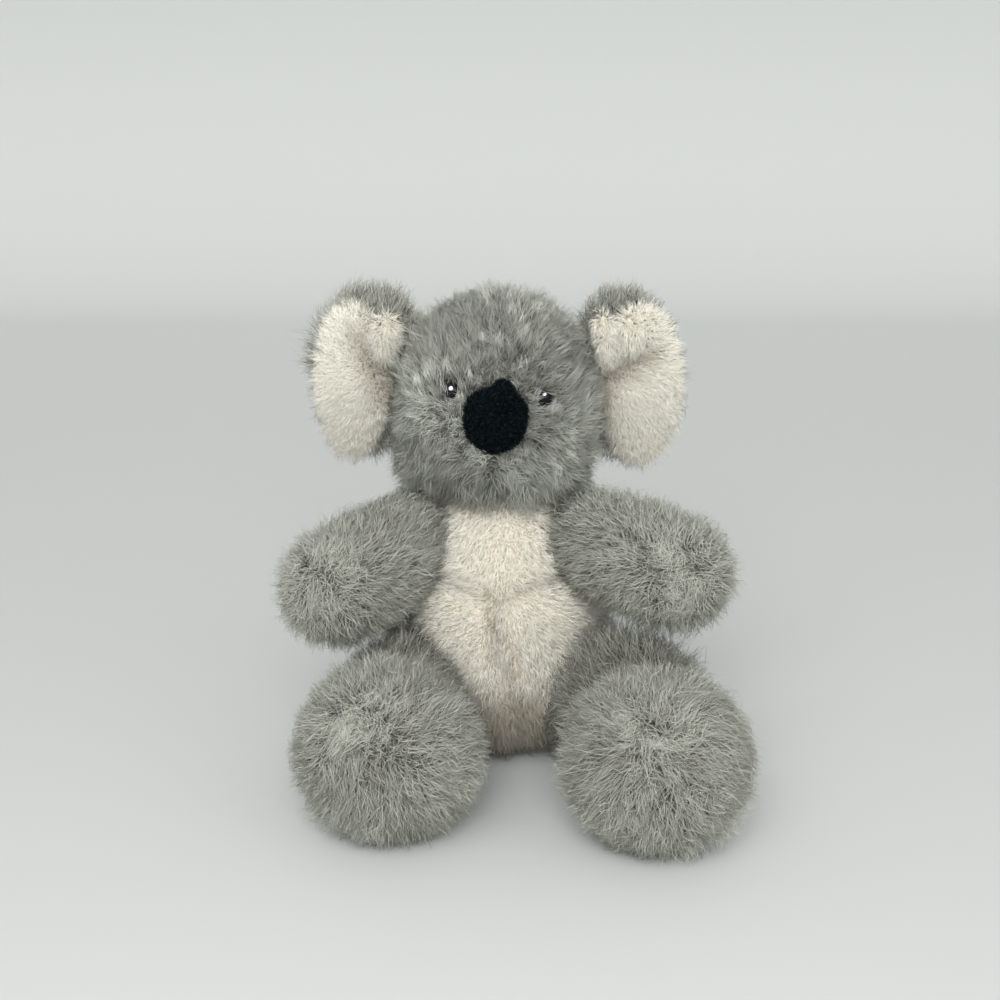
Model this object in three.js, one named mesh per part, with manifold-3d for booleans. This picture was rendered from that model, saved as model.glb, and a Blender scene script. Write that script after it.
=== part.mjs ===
// A seated plush koala: furred cloth covers over fibre stuffing, with sewn-on head, ears, arms and legs.
// Millimetres, +Z up. The koala faces -Y and its own left side is +X.
// The origin is the middle of the seat, on the surface that the koala sits on.
// Outer sizes reach the thick of the fur, and its loose tips stand a little farther out.

import * as THREE from 'three';
import { mergeVertices } from 'three/addons/utils/BufferGeometryUtils.js';
import Module from 'manifold-3d';

const wasm = await Module();
wasm.setup();

// Cloth and seams
const coverThickness = 7; // backing cloth and the thick of the pile together
const seamGap = 0.4; // between pieces that are sewn or packed together
const jointGap = 0.6; // between pieces that swing past each other
const flatDepth = 0.5; // how far each resting form is pressed flat
const cutOverrun = 30; // how far every cutting block runs past what it cuts

// Body
const bodyHeight = 128;
const bodyWidth = 92;
const bodyDepth = 77;
const bodySeatRound = 32;
const bodyNeckRound = 40;
const bellyLead = 5; // how far the belly bows the body's centre line forward
const bodyWidthShares = [0.96, 1, 0.98, 0.77, 0.64];
const bodyDepthShares = [0.96, 1, 0.98, 0.84, 0.72];
const neckOpening = 22;
const pelletBagHeight = 24;
const pelletBagWidth = 62;

// Belly panel: its middles and half widths as shares of the body's width, at heights that are
// shares of its height
const bellyHeightShares = [0.06, 0.12, 0.2, 0.3, 0.4, 0.5, 0.6, 0.67, 0.78, 0.905];
const bellyWidthShares = [0.11, 0.17, 0.2, 0.23, 0.29, 0.37, 0.4, 0.34, 0.29, 0.24];
const bellyAsideShares = [0.08, 0.1, 0.1, 0.09, 0.06, 0.035, 0.02, 0.015, 0.015, 0.005];
const bellyForwardShare = 0.13; // how far in front of the middle the panel begins, as a share of the depth

// Head
const headWidth = 87.5;
const headDepth = 82;
const headHeight = 88;
const headOverBody = 14; // how far the chin comes down over the neck
const headSetBack = 3;
const headTiltAngle = 4.8; // degrees, the koala's left side lower
const headWidthShares = [0.97, 0.98, 1, 0.98, 0.97];
const headChinRound = 19;
const headTurnAngle = 20; // degrees each way

// Nose
const noseWidth = 27;
const noseHeight = 28.5;
const noseBacking = 1.5; // cover left behind the nose
const noseProud = 5.5; // how far the nose stands out of the thick of the fur
const noseDrop = 4.3; // how far the nose's middle is under the head's middle
const noseAside = -0.6; // towards the koala's left
const noseWidthShares = [0.76, 0.92, 1, 1, 0.92];
const noseChinRound = 9.5;
const noseBrowRound = 9.5;

// Eyes: a dome on a shank, held by a washer inside the cover
const eyeRadius = 3.4;
const eyeSpacing = 40;
const eyeRise = 5.5; // above the head's middle
const eyeSunk = 0.2; // the dome's top lies this deep in the thick of the fur
const eyeDomeShare = 0.7; // the dome's height in radii
const shankRadius = 1.3;
const washerRadius = 4.6;
const washerThickness = 1.2;
const washerDepth = 2.6; // how deep the washer lies under the cover, clear of its flat facets
const shankPast = 1.4; // how far the shank comes through its washer

// Ears
const earWidth = 57;
const leftEarHeight = 80;
const rightEarHeight = 76.5;
const earThickness = 13;
const earStandOff = 10.5; // from the head's side out to the ear's middle
const leftEarRise = 6.5; // above the head's middle
const rightEarRise = 8.5;
const earSetBack = 6; // behind the head's middle
const earFrontWidthShare = 0.83;
const earFrontHeightShare = 0.91;
const earFrontOutShare = 0.14;
const earFrontDropShare = 0.04;
const earFrontThickness = 17;
const earFrontLead = 5.5; // how far the front pad's middle lies in front of the back's
const earToeAngle = 8; // degrees, the outer edge turned forward
const earBackLeanAngle = 5; // degrees, the top leaning to the head
const earLobeLength = 32;
const earLobeWidth = 15;
const earLobeThickness = 12;
const earLobeLead = 10;
const earLobeInShare = 0.13;
const earLobeUpShare = 0.25;
const earLobeLeanAngle = 8; // degrees
const earFoldForwardAngle = 20; // degrees
const earFoldBackAngle = 12; // degrees
const earSeamInset = 4; // how deep the ear's hinge line lies in the head's side

// Arms
const armRadius = 23.5;
const leftArmReach = 55; // from the shoulder seam to the middle of the paw
const rightArmReach = 51;
const armRootInside = 16; // how far the arm's form starts inside the body
const armShares = [0.86, 0.95, 1.03, 1.03, 1];
const armArch = 5; // how far the middle of the arm's centre line is pulled up
const shoulderHeightShare = 0.75;
const shoulderOutShare = 0.65;
const shoulderLeadShare = 0.2;
const leftArmForwardAngle = 39; // degrees in front of straight out
const rightArmForwardAngle = 44;
const leftArmDropAngle = 6.5; // degrees below level
const rightArmDropAngle = 14;
const armOpenAngle = 40; // degrees outward and back
const armCloseAngle = 12; // degrees inward, as in a hug

// Legs: a thigh that lies on the surface and a round foot whose sole looks up and forward
const footRadius = 36.5;
const footHeightShare = 0.96; // how tall the foot is for its width
const thighWidth = 54;
const thighHeight = 63;
const thighShares = [0.9, 1, 1, 0.95, 0.95];
const thighRootInside = 14; // how far the thigh's form starts inside the body
const leftLegReach = 91.5; // from the hip seam to the middle of the foot
const rightLegReach = 79;
const hipOutShare = 0.82;
const hipLeadShare = 0.2;
const leftLegSplayAngle = 14.4; // degrees out from straight ahead
const rightLegSplayAngle = 3.3;
const leftLegBow = 34; // how far the middle of the thigh's centre line is pulled outward
const rightLegBow = 14;
const soleRiseAngle = 38; // degrees that the sole looks up
const legSpreadAngle = 22; // degrees outward
const legCloseAngle = 5; // degrees inward

const sweepStepAngle = 14; // degrees between the places that a swinging seam is cut at

const grey = 0x83857d;
const cream = 0xd8d4bf;
const black = 0x0b0f11;
const fibreWhite = 0xf2f2ee;
const linenWhite = 0xe8e6df;

const Y = new THREE.Vector3(0, 1, 0);
const Z = new THREE.Vector3(0, 0, 1);
const half = 0.5;

function radians(degrees) {
  return THREE.MathUtils.degToRad(degrees);
}

function at(x, y, z) {
  return new THREE.Vector3(x, y, z);
}

// Reads a table of shares, evenly spread over 0 to 1, on a smooth curve through all of them.
function shareAt(shares, t) {
  const points = shares.map((share, i) => new THREE.Vector2(i, share));
  return new THREE.SplineCurve(points).getPoint(t).y;
}

// A quarter ellipse that closes a form within the given share of its rounding.
function roundOff(share) {
  const x = Math.min(Math.max(share, 0), 1);
  return Math.sqrt(x * (2 - x));
}

// A closed, swelling form on a bent centre line. Its sections are ellipses whose sizes follow
// the width and depth shares, and both ends round off. grow moves the whole skin outward.
function swell(form, grow = 0) {
  const { line, toward, width, depth, widthShares, depthShares, startRound, endRound, rings, sides } = form;
  const from = line.getPoint(0).addScaledVector(line.getTangent(0), -grow);
  const to = line.getPoint(1).addScaledVector(line.getTangent(1), grow);
  const centre = new THREE.QuadraticBezierCurve3(from, line.v1, to);
  const length = centre.getLength();
  const positions = [...from.toArray()];
  for (let i = 1; i < rings; i++) {
    const t = (1 - Math.cos((Math.PI * i) / rings)) * half;
    const middle = centre.getPoint(t);
    const along = centre.getTangent(t);
    const across = new THREE.Vector3().crossVectors(toward, along).normalize();
    const other = new THREE.Vector3().crossVectors(along, across);
    const opening = roundOff((t * length) / (startRound + grow));
    const closing = opening * roundOff(((1 - t) * length) / (endRound + grow));
    const a = (width * half * shareAt(widthShares, t) + grow) * closing;
    const b = (depth * half * shareAt(depthShares, t) + grow) * closing;
    for (let k = 0; k < sides; k++) {
      const turn = (2 * Math.PI * k) / sides;
      const point = middle.clone().addScaledVector(across, a * Math.cos(turn));
      positions.push(...point.addScaledVector(other, b * Math.sin(turn)).toArray());
    }
  }
  positions.push(...to.toArray());
  const last = positions.length / 3 - 1;
  const index = [];
  for (let k = 0; k < sides; k++) {
    const next = (k + 1) % sides;
    index.push(0, 1 + next, 1 + k);
    for (let i = 0; i < rings - 2; i++) {
      const low = 1 + i * sides;
      const high = low + sides;
      index.push(low + k, low + next, high + next, low + k, high + next, high + k);
    }
    index.push(last, last - sides + k, last - sides + next);
  }
  const geometry = new THREE.BufferGeometry();
  geometry.setAttribute('position', new THREE.Float32BufferAttribute(positions, 3));
  geometry.setIndex(index);
  return geometry;
}

function solidOf(geometry) {
  const bare = geometry.clone();
  bare.deleteAttribute('normal');
  bare.deleteAttribute('uv');
  const merged = mergeVertices(bare);
  const corners = [];
  for (let i = 0; i < merged.index.count; i += 3) {
    const [a, b, c] = [0, 1, 2].map((k) => merged.index.getX(i + k));
    if (a !== b && b !== c && c !== a) corners.push(a, b, c);
  }
  return new wasm.Manifold(new wasm.Mesh({
    numProp: 3,
    vertProperties: new Float32Array(merged.getAttribute('position').array),
    triVerts: new Uint32Array(corners),
  }));
}

// Cutting can leave loose crumbs of less than a thousandth of a piece, which are dropped.
function mainBody(solid) {
  return solid.decompose().sort((a, b) => b.volume() - a.volume())[0];
}

function solidForm(form, grow = 0) {
  return solidOf(swell(form, grow));
}

// The same form with fewer facets, for the inside of a cover and what fills it
function plainer(form) {
  return { ...form, rings: form.liningRings, sides: form.liningSides };
}

// The space that a neighbour needs while a piece swings on its upright hinge, in the piece's own frame.
// turn is 1 where the hinge's axis points up and -1 where it points down.
function sweptSolid(neighbour, hinge) {
  const { x, y, z } = hinge.at;
  const steps = Math.ceil((hinge.most - hinge.least) / sweepStepAngle);
  let space = neighbour;
  for (let i = 0; i <= steps; i++) {
    const angle = -hinge.turn * (hinge.least + ((hinge.most - hinge.least) * i) / steps);
    space = space.add(neighbour.translate([-x, -y, -z]).rotate([0, 0, angle]).translate([x, y, z]));
  }
  return space;
}

function pieceMesh(name, solid, pivot, color, roughness, metalness = 0) {
  const { vertProperties, triVerts } = mainBody(solid).getMesh();
  const geometry = new THREE.BufferGeometry();
  geometry.setAttribute('position', new THREE.BufferAttribute(new Float32Array(vertProperties), 3));
  geometry.setIndex(new THREE.BufferAttribute(new Uint32Array(triVerts), 1));
  geometry.translate(-pivot.x, -pivot.y, -pivot.z);
  geometry.computeVertexNormals();
  const mesh = new THREE.Mesh(geometry, new THREE.MeshStandardMaterial({ color, roughness, metalness }));
  mesh.name = name;
  return mesh;
}

// The surface that the koala sits on, as a block to cut the resting forms flat with
const groundSize = bodyWidth + bodyDepth + 2 * (leftLegReach + rightLegReach);
const groundBlock = new THREE.BoxGeometry(groundSize, groundSize, cutOverrun);
const ground = solidOf(groundBlock.translate(0, 0, -cutOverrun * half));

// Body forms
const bodyForm = {
  line: new THREE.QuadraticBezierCurve3(
    at(0, 0, -flatDepth),
    at(0, -2 * bellyLead, bodyHeight * half),
    at(0, 0, bodyHeight),
  ),
  toward: Y,
  width: bodyWidth,
  depth: bodyDepth,
  widthShares: bodyWidthShares,
  depthShares: bodyDepthShares,
  startRound: bodySeatRound,
  endRound: bodyNeckRound,
  rings: 14,
  sides: 22,
  liningRings: 9,
  liningSides: 14,
};

function bellyEdge(side, grow) {
  const points = bellyHeightShares.map((share, i) => new THREE.Vector2(
    bellyAsideShares[i] * bodyWidth + side * (bellyWidthShares[i] * bodyWidth + grow),
    share * bodyHeight,
  ));
  points[0].y -= grow;
  points[points.length - 1].y += grow;
  return new THREE.SplineCurve(points).getPoints(2 * points.length);
}

function bellyBlock(grow) {
  const shape = new THREE.Shape([...bellyEdge(1, grow), ...bellyEdge(-1, grow).reverse()]);
  const block = new THREE.ExtrudeGeometry(shape, { depth: bodyDepth + cutOverrun, bevelEnabled: false });
  return solidOf(block.rotateX(Math.PI * half).translate(0, grow - bellyForwardShare * bodyDepth, 0));
}

// Head forms, in the head's own frame around its middle, then tilted and set on the neck
const headMiddle = at(0, headSetBack, bodyHeight - headOverBody + headHeight * half);
const headForm = {
  line: new THREE.QuadraticBezierCurve3(
    at(0, 0, -headHeight * half),
    at(0, 0, 0),
    at(0, 0, headHeight * half),
  ),
  toward: Y,
  width: headWidth,
  depth: headDepth,
  widthShares: headWidthShares,
  depthShares: [1, 1, 1, 1, 1],
  startRound: headChinRound,
  endRound: headHeight * half,
  rings: 14,
  sides: 24,
  liningRings: 9,
  liningSides: 14,
};

function setOnNeck(geometry) {
  return geometry.rotateY(radians(headTiltAngle)).translate(headMiddle.x, headMiddle.y, headMiddle.z);
}

function onNeck(point) {
  return point.clone().applyAxisAngle(Y, radians(headTiltAngle)).add(headMiddle);
}

const neck = {
  at: at(0, 0, bodyHeight - headOverBody * half),
  turn: 1,
  least: -headTurnAngle,
  most: headTurnAngle,
};

const noseDepth = noseProud + coverThickness - noseBacking;
const noseForm = {
  line: new THREE.QuadraticBezierCurve3(
    at(0, 0, -noseHeight * half),
    at(0, 0, 0),
    at(0, 0, noseHeight * half),
  ),
  toward: Y,
  width: noseWidth,
  depth: noseDepth,
  widthShares: noseWidthShares,
  depthShares: [0.8, 0.95, 1, 0.95, 0.8],
  startRound: noseChinRound,
  endRound: noseBrowRound,
  rings: 9,
  sides: 16,
};

function setOnFace(geometry) {
  const ahead = headDepth * half - noseDepth * half + noseProud;
  return setOnNeck(geometry.translate(noseAside, -ahead, -noseDrop));
}

// The eye's place on the head: a point on the surface and the way that the surface faces there
function eyeSeat(side) {
  const x = side * eyeSpacing * half;
  const z = eyeRise;
  const a = headWidth * half;
  const b = headDepth * half;
  const c = headHeight * half;
  const y = -b * Math.sqrt(1 - (x / a) ** 2 - (z / c) ** 2);
  const facing = at(x / a ** 2, y / b ** 2, z / c ** 2).normalize();
  return { point: onNeck(at(x, y, z)), facing: facing.applyAxisAngle(Y, radians(headTiltAngle)) };
}

function turned(radii, heights, sides) {
  const profile = radii.map((r, i) => new THREE.Vector2(r, heights[i]));
  return new THREE.LatheGeometry(profile, sides).rotateX(Math.PI * half);
}

// Seats a turned piece, whose axis is Z, at a depth under the fur's surface.
function seated(geometry, seat, depth) {
  const place = seat.point.clone().addScaledVector(seat.facing, -depth);
  geometry.applyQuaternion(new THREE.Quaternion().setFromUnitVectors(Z, seat.facing));
  return geometry.translate(place.x, place.y, place.z);
}

const domeHeight = eyeRadius * eyeDomeShare;
const shankEnd = -(coverThickness - eyeSunk - domeHeight + washerDepth + washerThickness + shankPast);
const eyeSides = 12;

function eyeGeometry(seat) {
  const steps = 3;
  const radii = [0, shankRadius, shankRadius, eyeRadius];
  const heights = [shankEnd, shankEnd, 0, 0];
  for (let i = 1; i <= steps; i++) {
    const angle = (Math.PI * half * i) / steps;
    radii.push(i === steps ? 0 : eyeRadius * Math.cos(angle));
    heights.push(domeHeight * Math.sin(angle));
  }
  return seated(turned(radii, heights, eyeSides), seat, eyeSunk + domeHeight);
}

// The room for an eye in the cover: a pocket for the dome, open to the front, and a hole for its shank
function eyeRoom(seat) {
  const wide = eyeRadius + seamGap;
  const narrow = shankRadius + seamGap;
  const radii = [0, narrow, narrow, wide, wide, 0];
  const deep = shankEnd - seamGap;
  const open = domeHeight + eyeSunk + cutOverrun;
  const heights = [deep, deep, -seamGap, -seamGap, open, open];
  return solidOf(seated(turned(radii, heights, eyeSides), seat, eyeSunk + domeHeight));
}

function washerGeometry(seat, grow = 0) {
  const bore = grow > 0 ? 0 : shankRadius + seamGap;
  const thick = washerThickness + 2 * grow;
  const radii = [bore, washerRadius + grow, washerRadius + grow, bore, bore];
  const heights = [-thick * half, -thick * half, thick * half, thick * half, -thick * half];
  const count = grow > 0 ? 4 : radii.length;
  const geometry = turned(radii.slice(0, count), heights.slice(0, count), eyeSides);
  return seated(geometry, seat, coverThickness + washerDepth + washerThickness * half);
}

// Ear forms, upright in the ear's own frame: +X points away from the head
function earLine(height, lean = 0) {
  const low = at(0, 0, -height * half).applyAxisAngle(Y, radians(lean));
  const high = at(0, 0, height * half).applyAxisAngle(Y, radians(lean));
  return new THREE.QuadraticBezierCurve3(low, at(0, 0, 0), high);
}

function earForm(height, width, thickness, rings, sides) {
  return {
    line: earLine(height),
    toward: Y,
    width,
    depth: thickness,
    widthShares: [1, 1, 1],
    depthShares: [1, 1, 1],
    startRound: height * half,
    endRound: height * half,
    rings,
    sides,
  };
}

// A leg's two forms: the thigh runs forward along the surface into a round foot.
function legForms(leg) {
  const splay = radians(leg.splay);
  const rise = radians(soleRiseAngle);
  const ahead = at(leg.side * Math.sin(splay), -Math.cos(splay), 0);
  const out = at(leg.side * Math.cos(splay), Math.sin(splay), 0);
  const sole = ahead.clone().multiplyScalar(Math.cos(rise)).addScaledVector(Z, Math.sin(rise));
  const middle = leg.pivot.clone().addScaledVector(ahead, leg.reach);
  middle.z = footRadius * footHeightShare - flatDepth;
  const start = leg.pivot.clone().addScaledVector(ahead, -thighRootInside * half);
  start.addScaledVector(out, -thighRootInside);
  const bend = leg.pivot.clone().add(middle).multiplyScalar(half).addScaledVector(out, leg.bow);
  const thighMiddle = thighHeight * half - flatDepth;
  const end = middle.clone();
  for (const point of [start, bend, end]) point.z = thighMiddle;
  const thigh = {
    line: new THREE.QuadraticBezierCurve3(start, bend, end),
    toward: Z,
    width: thighWidth,
    depth: thighHeight,
    widthShares: thighShares,
    depthShares: thighShares,
    startRound: thighRootInside,
    endRound: thighWidth * half,
    rings: 10,
    sides: 16,
    liningRings: 8,
    liningSides: 12,
  };
  const foot = {
    line: new THREE.QuadraticBezierCurve3(
      middle.clone().addScaledVector(sole, -footRadius * footHeightShare),
      middle,
      middle.clone().addScaledVector(sole, footRadius * footHeightShare),
    ),
    toward: Z,
    width: 2 * footRadius,
    depth: 2 * footRadius * footHeightShare,
    widthShares: [1, 1, 1],
    depthShares: [1, 1, 1],
    startRound: footRadius * footHeightShare,
    endRound: footRadius * footHeightShare,
    rings: 10,
    sides: 18,
    liningRings: 8,
    liningSides: 14,
  };
  return [thigh, foot];
}

// An arm's form: a fat sleeve from inside the shoulder to a round paw, held out and a little down.
function armForm(arm) {
  const forward = radians(arm.forward);
  const drop = radians(arm.drop);
  const level = at(arm.side * Math.cos(forward), -Math.sin(forward), 0);
  const along = level.multiplyScalar(Math.cos(drop)).addScaledVector(Z, -Math.sin(drop));
  const start = arm.pivot.clone().addScaledVector(along, -armRootInside);
  const end = arm.pivot.clone().addScaledVector(along, arm.reach + armRadius);
  const bend = start.clone().add(end).multiplyScalar(half).addScaledVector(Z, armArch);
  return {
    line: new THREE.QuadraticBezierCurve3(start, bend, end),
    toward: Z,
    width: 2 * armRadius,
    depth: 2 * armRadius,
    widthShares: armShares,
    depthShares: armShares,
    startRound: armRootInside,
    endRound: armRadius,
    rings: 12,
    sides: 16,
    liningRings: 8,
    liningSides: 12,
  };
}

const koala = new THREE.Group();
koala.name = 'plush_koala';

function bodyGroup(pivot, parent, parentPivot) {
  const group = new THREE.Group();
  group.position.copy(pivot).sub(parentPivot);
  parent.add(group);
  return group;
}

function furMesh(name, solid, pivot, color = grey) {
  return pieceMesh(name, solid, pivot, color, 0.95);
}

function stuffingMesh(name, solid, pivot) {
  return pieceMesh(name, solid, pivot, fibreWhite, 1);
}

// Body: cover, belly panel, stuffing and the bag of pellets in the seat
const origin = at(0, 0, 0);
const lining = -coverThickness;
const filling = -coverThickness - seamGap;
const bodyOuter = solidForm(bodyForm);
const bodyShell = bodyOuter.subtract(solidForm(plainer(bodyForm), lining)).subtract(ground);
const neckHole = solidOf(
  new THREE.CylinderGeometry(neckOpening * half, neckOpening * half, cutOverrun, eyeSides)
    .rotateX(Math.PI * half)
    .translate(0, 0, bodyHeight),
);
const pelletForm = {
  line: new THREE.QuadraticBezierCurve3(
    at(0, 0, coverThickness - pelletBagHeight),
    at(0, 0, coverThickness),
    at(0, 0, coverThickness + pelletBagHeight),
  ),
  toward: Y,
  width: pelletBagWidth,
  depth: (pelletBagWidth * bodyDepth) / bodyWidth,
  widthShares: [1, 1, 1],
  depthShares: [1, 1, 1],
  startRound: pelletBagHeight,
  endRound: pelletBagHeight,
  rings: 8,
  sides: 12,
};
const bodyFilling = solidForm(plainer(bodyForm), filling);
koala.add(furMesh('body_cover', bodyShell.subtract(bellyBlock(seamGap)).subtract(neckHole), origin));
koala.add(furMesh('belly_panel', bodyShell.intersect(bellyBlock(0)), origin, cream));
koala.add(stuffingMesh('body_stuffing', bodyFilling.subtract(solidForm(pelletForm, seamGap)), origin));
const pellets = bodyFilling.intersect(solidForm(pelletForm));
koala.add(pieceMesh('seat_pellet_bag', pellets, origin, linenWhite, 0.9));

// Head: cover, stuffing, nose and eyes
const headGroup = bodyGroup(neck.at, koala, origin);
const neckWidth = Math.max(bodyWidth, bodyDepth);
const neckShares = bodyWidthShares.map(
  (share, i) => Math.max(share * bodyWidth, bodyDepthShares[i] * bodyDepth) / neckWidth,
);
const neckForm = {
  ...bodyForm,
  line: new THREE.QuadraticBezierCurve3(at(0, 0, 0), at(0, 0, bodyHeight * half), at(0, 0, bodyHeight)),
  width: neckWidth,
  depth: neckWidth,
  widthShares: neckShares,
  depthShares: neckShares,
};
const chinShare = headOverBody / bodyHeight;
const neckBow = 4 * bellyLead * chinShare * (1 - chinShare); // how far the neck's middle is off its axis
const headSwing = solidForm(neckForm, jointGap + neckBow);
const bodyRoom = solidForm(bodyForm, jointGap);
const headRoom = solidOf(setOnNeck(swell(headForm, jointGap)));
const headOuter = solidOf(setOnNeck(swell(headForm)));
const headLining = solidOf(setOnNeck(swell(plainer(headForm), lining)));
const headFilling = solidOf(setOnNeck(swell(plainer(headForm), filling)));
let headCover = headOuter.subtract(headLining).subtract(headSwing);
headCover = headCover.subtract(solidOf(setOnFace(swell(noseForm, seamGap))));
let headStuffing = headFilling.subtract(headSwing);
for (const side of [1, -1]) {
  const name = side > 0 ? 'left' : 'right';
  const seat = eyeSeat(side);
  headCover = headCover.subtract(eyeRoom(seat));
  headStuffing = headStuffing.subtract(eyeRoom(seat)).subtract(solidOf(washerGeometry(seat, seamGap)));
  headGroup.add(pieceMesh(`${name}_eye`, solidOf(eyeGeometry(seat)), neck.at, black, 0.08));
  headGroup.add(pieceMesh(`${name}_eye_washer`, solidOf(washerGeometry(seat)), neck.at, linenWhite, 0.5));
}
headGroup.add(furMesh('head_cover', headCover, neck.at));
headGroup.add(stuffingMesh('head_stuffing', headStuffing, neck.at));
headGroup.add(pieceMesh('nose_pad', solidOf(setOnFace(swell(noseForm))), neck.at, black, 0.85));

// Ears: a grey back pad and a cream front pad with its tucked fold, on a seam at the head's side
const ears = [
  { name: 'left', side: 1, height: leftEarHeight, rise: leftEarRise },
  { name: 'right', side: -1, height: rightEarHeight, rise: rightEarRise },
];
for (const ear of ears) {
  const out = headWidth * half + earStandOff;
  const middle = headMiddle.clone().add(at(ear.side * out, earSetBack, ear.rise));
  const pivot = at(ear.side * (headWidth * half - earSeamInset), middle.y, middle.z);
  const hinge = { at: pivot, turn: -ear.side, least: -earFoldBackAngle, most: earFoldForwardAngle };
  const toe = radians(-ear.side * earToeAngle);
  const setOnHead = (geometry) => geometry.rotateZ(toe).translate(middle.x, middle.y, middle.z);
  const frontWidth = earWidth * earFrontWidthShare;
  const frontHeight = ear.height * earFrontHeightShare;
  const frontOut = ear.side * earWidth * earFrontOutShare * half;
  const frontDrop = -ear.height * earFrontDropShare * half;
  const back = earForm(ear.height, earWidth, earThickness, 10, 18);
  back.line = earLine(ear.height, -ear.side * earBackLeanAngle);
  const front = earForm(frontHeight, frontWidth, earFrontThickness, 10, 18);
  const lobe = earForm(earLobeLength, earLobeWidth, earLobeThickness, 7, 10);
  lobe.line = earLine(earLobeLength, -ear.side * earLobeLeanAngle);
  const inward = -ear.side * earWidth * earLobeInShare;
  const upward = ear.height * earLobeUpShare;
  const lobeSolid = solidOf(setOnHead(swell(lobe).translate(inward, -earLobeLead, upward)));
  const frontSolid = solidOf(setOnHead(swell(front).translate(frontOut, -earFrontLead, frontDrop)));
  const head = sweptSolid(headRoom, hinge);
  const backSolid = solidOf(setOnHead(swell(back)));
  const backRoom = solidOf(setOnHead(swell(back, seamGap)));
  const group = bodyGroup(pivot, headGroup, neck.at);
  group.add(furMesh(`${ear.name}_ear_back`, backSolid.subtract(head), pivot));
  const pad = frontSolid.add(lobeSolid).subtract(backRoom).subtract(head);
  group.add(furMesh(`${ear.name}_ear_front`, pad, pivot, cream));
}

// Arms: stuffed sleeves held out and forward from the shoulder seams
const arms = [
  { name: 'left', side: 1, forward: leftArmForwardAngle, drop: leftArmDropAngle, reach: leftArmReach },
  { name: 'right', side: -1, forward: rightArmForwardAngle, drop: rightArmDropAngle, reach: rightArmReach },
];
for (const arm of arms) {
  const pivot = at(
    arm.side * shoulderOutShare * bodyWidth * half,
    -shoulderLeadShare * bodyDepth * half,
    shoulderHeightShare * bodyHeight,
  );
  arm.pivot = pivot;
  const hinge = { at: pivot, turn: arm.side, least: -armCloseAngle, most: armOpenAngle };
  const torso = sweptSolid(bodyRoom.add(sweptSolid(headRoom, neck)), hinge);
  const form = armForm(arm);
  const sleeve = solidForm(form).subtract(solidForm(plainer(form), lining)).subtract(torso);
  const fill = solidForm(plainer(form), filling).subtract(torso);
  const group = bodyGroup(pivot, koala, origin);
  group.add(furMesh(`${arm.name}_arm_cover`, sleeve, pivot));
  group.add(stuffingMesh(`${arm.name}_arm_stuffing`, fill, pivot));
}

// Legs: stuffed thighs that lie on the surface and end in round feet
const legs = [
  { name: 'left', side: 1, splay: leftLegSplayAngle, reach: leftLegReach, bow: leftLegBow },
  { name: 'right', side: -1, splay: rightLegSplayAngle, reach: rightLegReach, bow: rightLegBow },
];
for (const leg of legs) {
  const pivot = at(
    leg.side * hipOutShare * bodyWidth * half,
    -hipLeadShare * bodyDepth * half,
    thighHeight * half,
  );
  leg.pivot = pivot;
  const hinge = { at: pivot, turn: leg.side, least: -legCloseAngle, most: legSpreadAngle };
  const torso = sweptSolid(bodyRoom, hinge);
  const [thigh, foot] = legForms(leg);
  const outer = solidForm(thigh).add(solidForm(foot));
  const inside = solidForm(plainer(thigh), lining).add(solidForm(plainer(foot), lining));
  const filled = solidForm(plainer(thigh), filling).add(solidForm(plainer(foot), filling));
  const trunk = outer.subtract(inside).subtract(torso).subtract(ground);
  const fill = filled.subtract(torso);
  const group = bodyGroup(pivot, koala, origin);
  group.add(furMesh(`${leg.name}_leg_cover`, trunk, pivot));
  group.add(stuffingMesh(`${leg.name}_leg_stuffing`, fill, pivot));
}

export default koala;
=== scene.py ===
"""A seated plush koala: stuffed cloth skins under a combed pile of real strands.

Metres, +Z up. The koala faces -Y and its own left side is +X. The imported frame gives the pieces'
places. Each stuffed form is a swelling surface whose outer size reaches the thick of the pile. Its
cloth skin lies one cover inside that size, and the pile's loose tips reach a little past it.
"""

import logging
import math
from dataclasses import dataclass, field, replace
from enum import Enum
from functools import cache
from typing import Any, Callable

import bpy
import numpy as np
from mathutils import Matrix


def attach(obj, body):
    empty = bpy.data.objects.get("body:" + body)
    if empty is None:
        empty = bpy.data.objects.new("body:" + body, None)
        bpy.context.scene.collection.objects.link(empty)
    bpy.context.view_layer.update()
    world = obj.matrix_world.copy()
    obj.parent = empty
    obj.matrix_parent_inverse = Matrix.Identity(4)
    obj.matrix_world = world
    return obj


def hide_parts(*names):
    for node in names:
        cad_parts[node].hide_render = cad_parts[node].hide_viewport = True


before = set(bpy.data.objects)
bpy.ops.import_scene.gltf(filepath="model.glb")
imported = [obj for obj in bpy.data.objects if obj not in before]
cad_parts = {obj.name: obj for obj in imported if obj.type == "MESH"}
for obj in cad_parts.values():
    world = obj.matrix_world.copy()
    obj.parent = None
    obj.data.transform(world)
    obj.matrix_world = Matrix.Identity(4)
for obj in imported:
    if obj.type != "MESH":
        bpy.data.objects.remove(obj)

Array = np.ndarray
Pair = tuple[float, float]
Shares = tuple[float, ...]
Vec = tuple[float, float, float]
Field = Callable[[Array], Array]
Tree = bpy.types.NodeTree
Socket = bpy.types.NodeSocket
PILE_MAP = "OFBake"
CHUNK = 4096
TINY = 1e-6
EVEN = (1, 1, 1)
log = logging.getLogger("koala")


def unit(vectors: Array) -> Array:
    """Scales each vector to a length of one.

    Args:
        vectors: Rows of vectors.

    Returns:
        The same rows, each divided by its own length.
    """
    length = np.linalg.norm(vectors, axis=-1, keepdims=True)
    return vectors / np.maximum(length, 1e-12)


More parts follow.
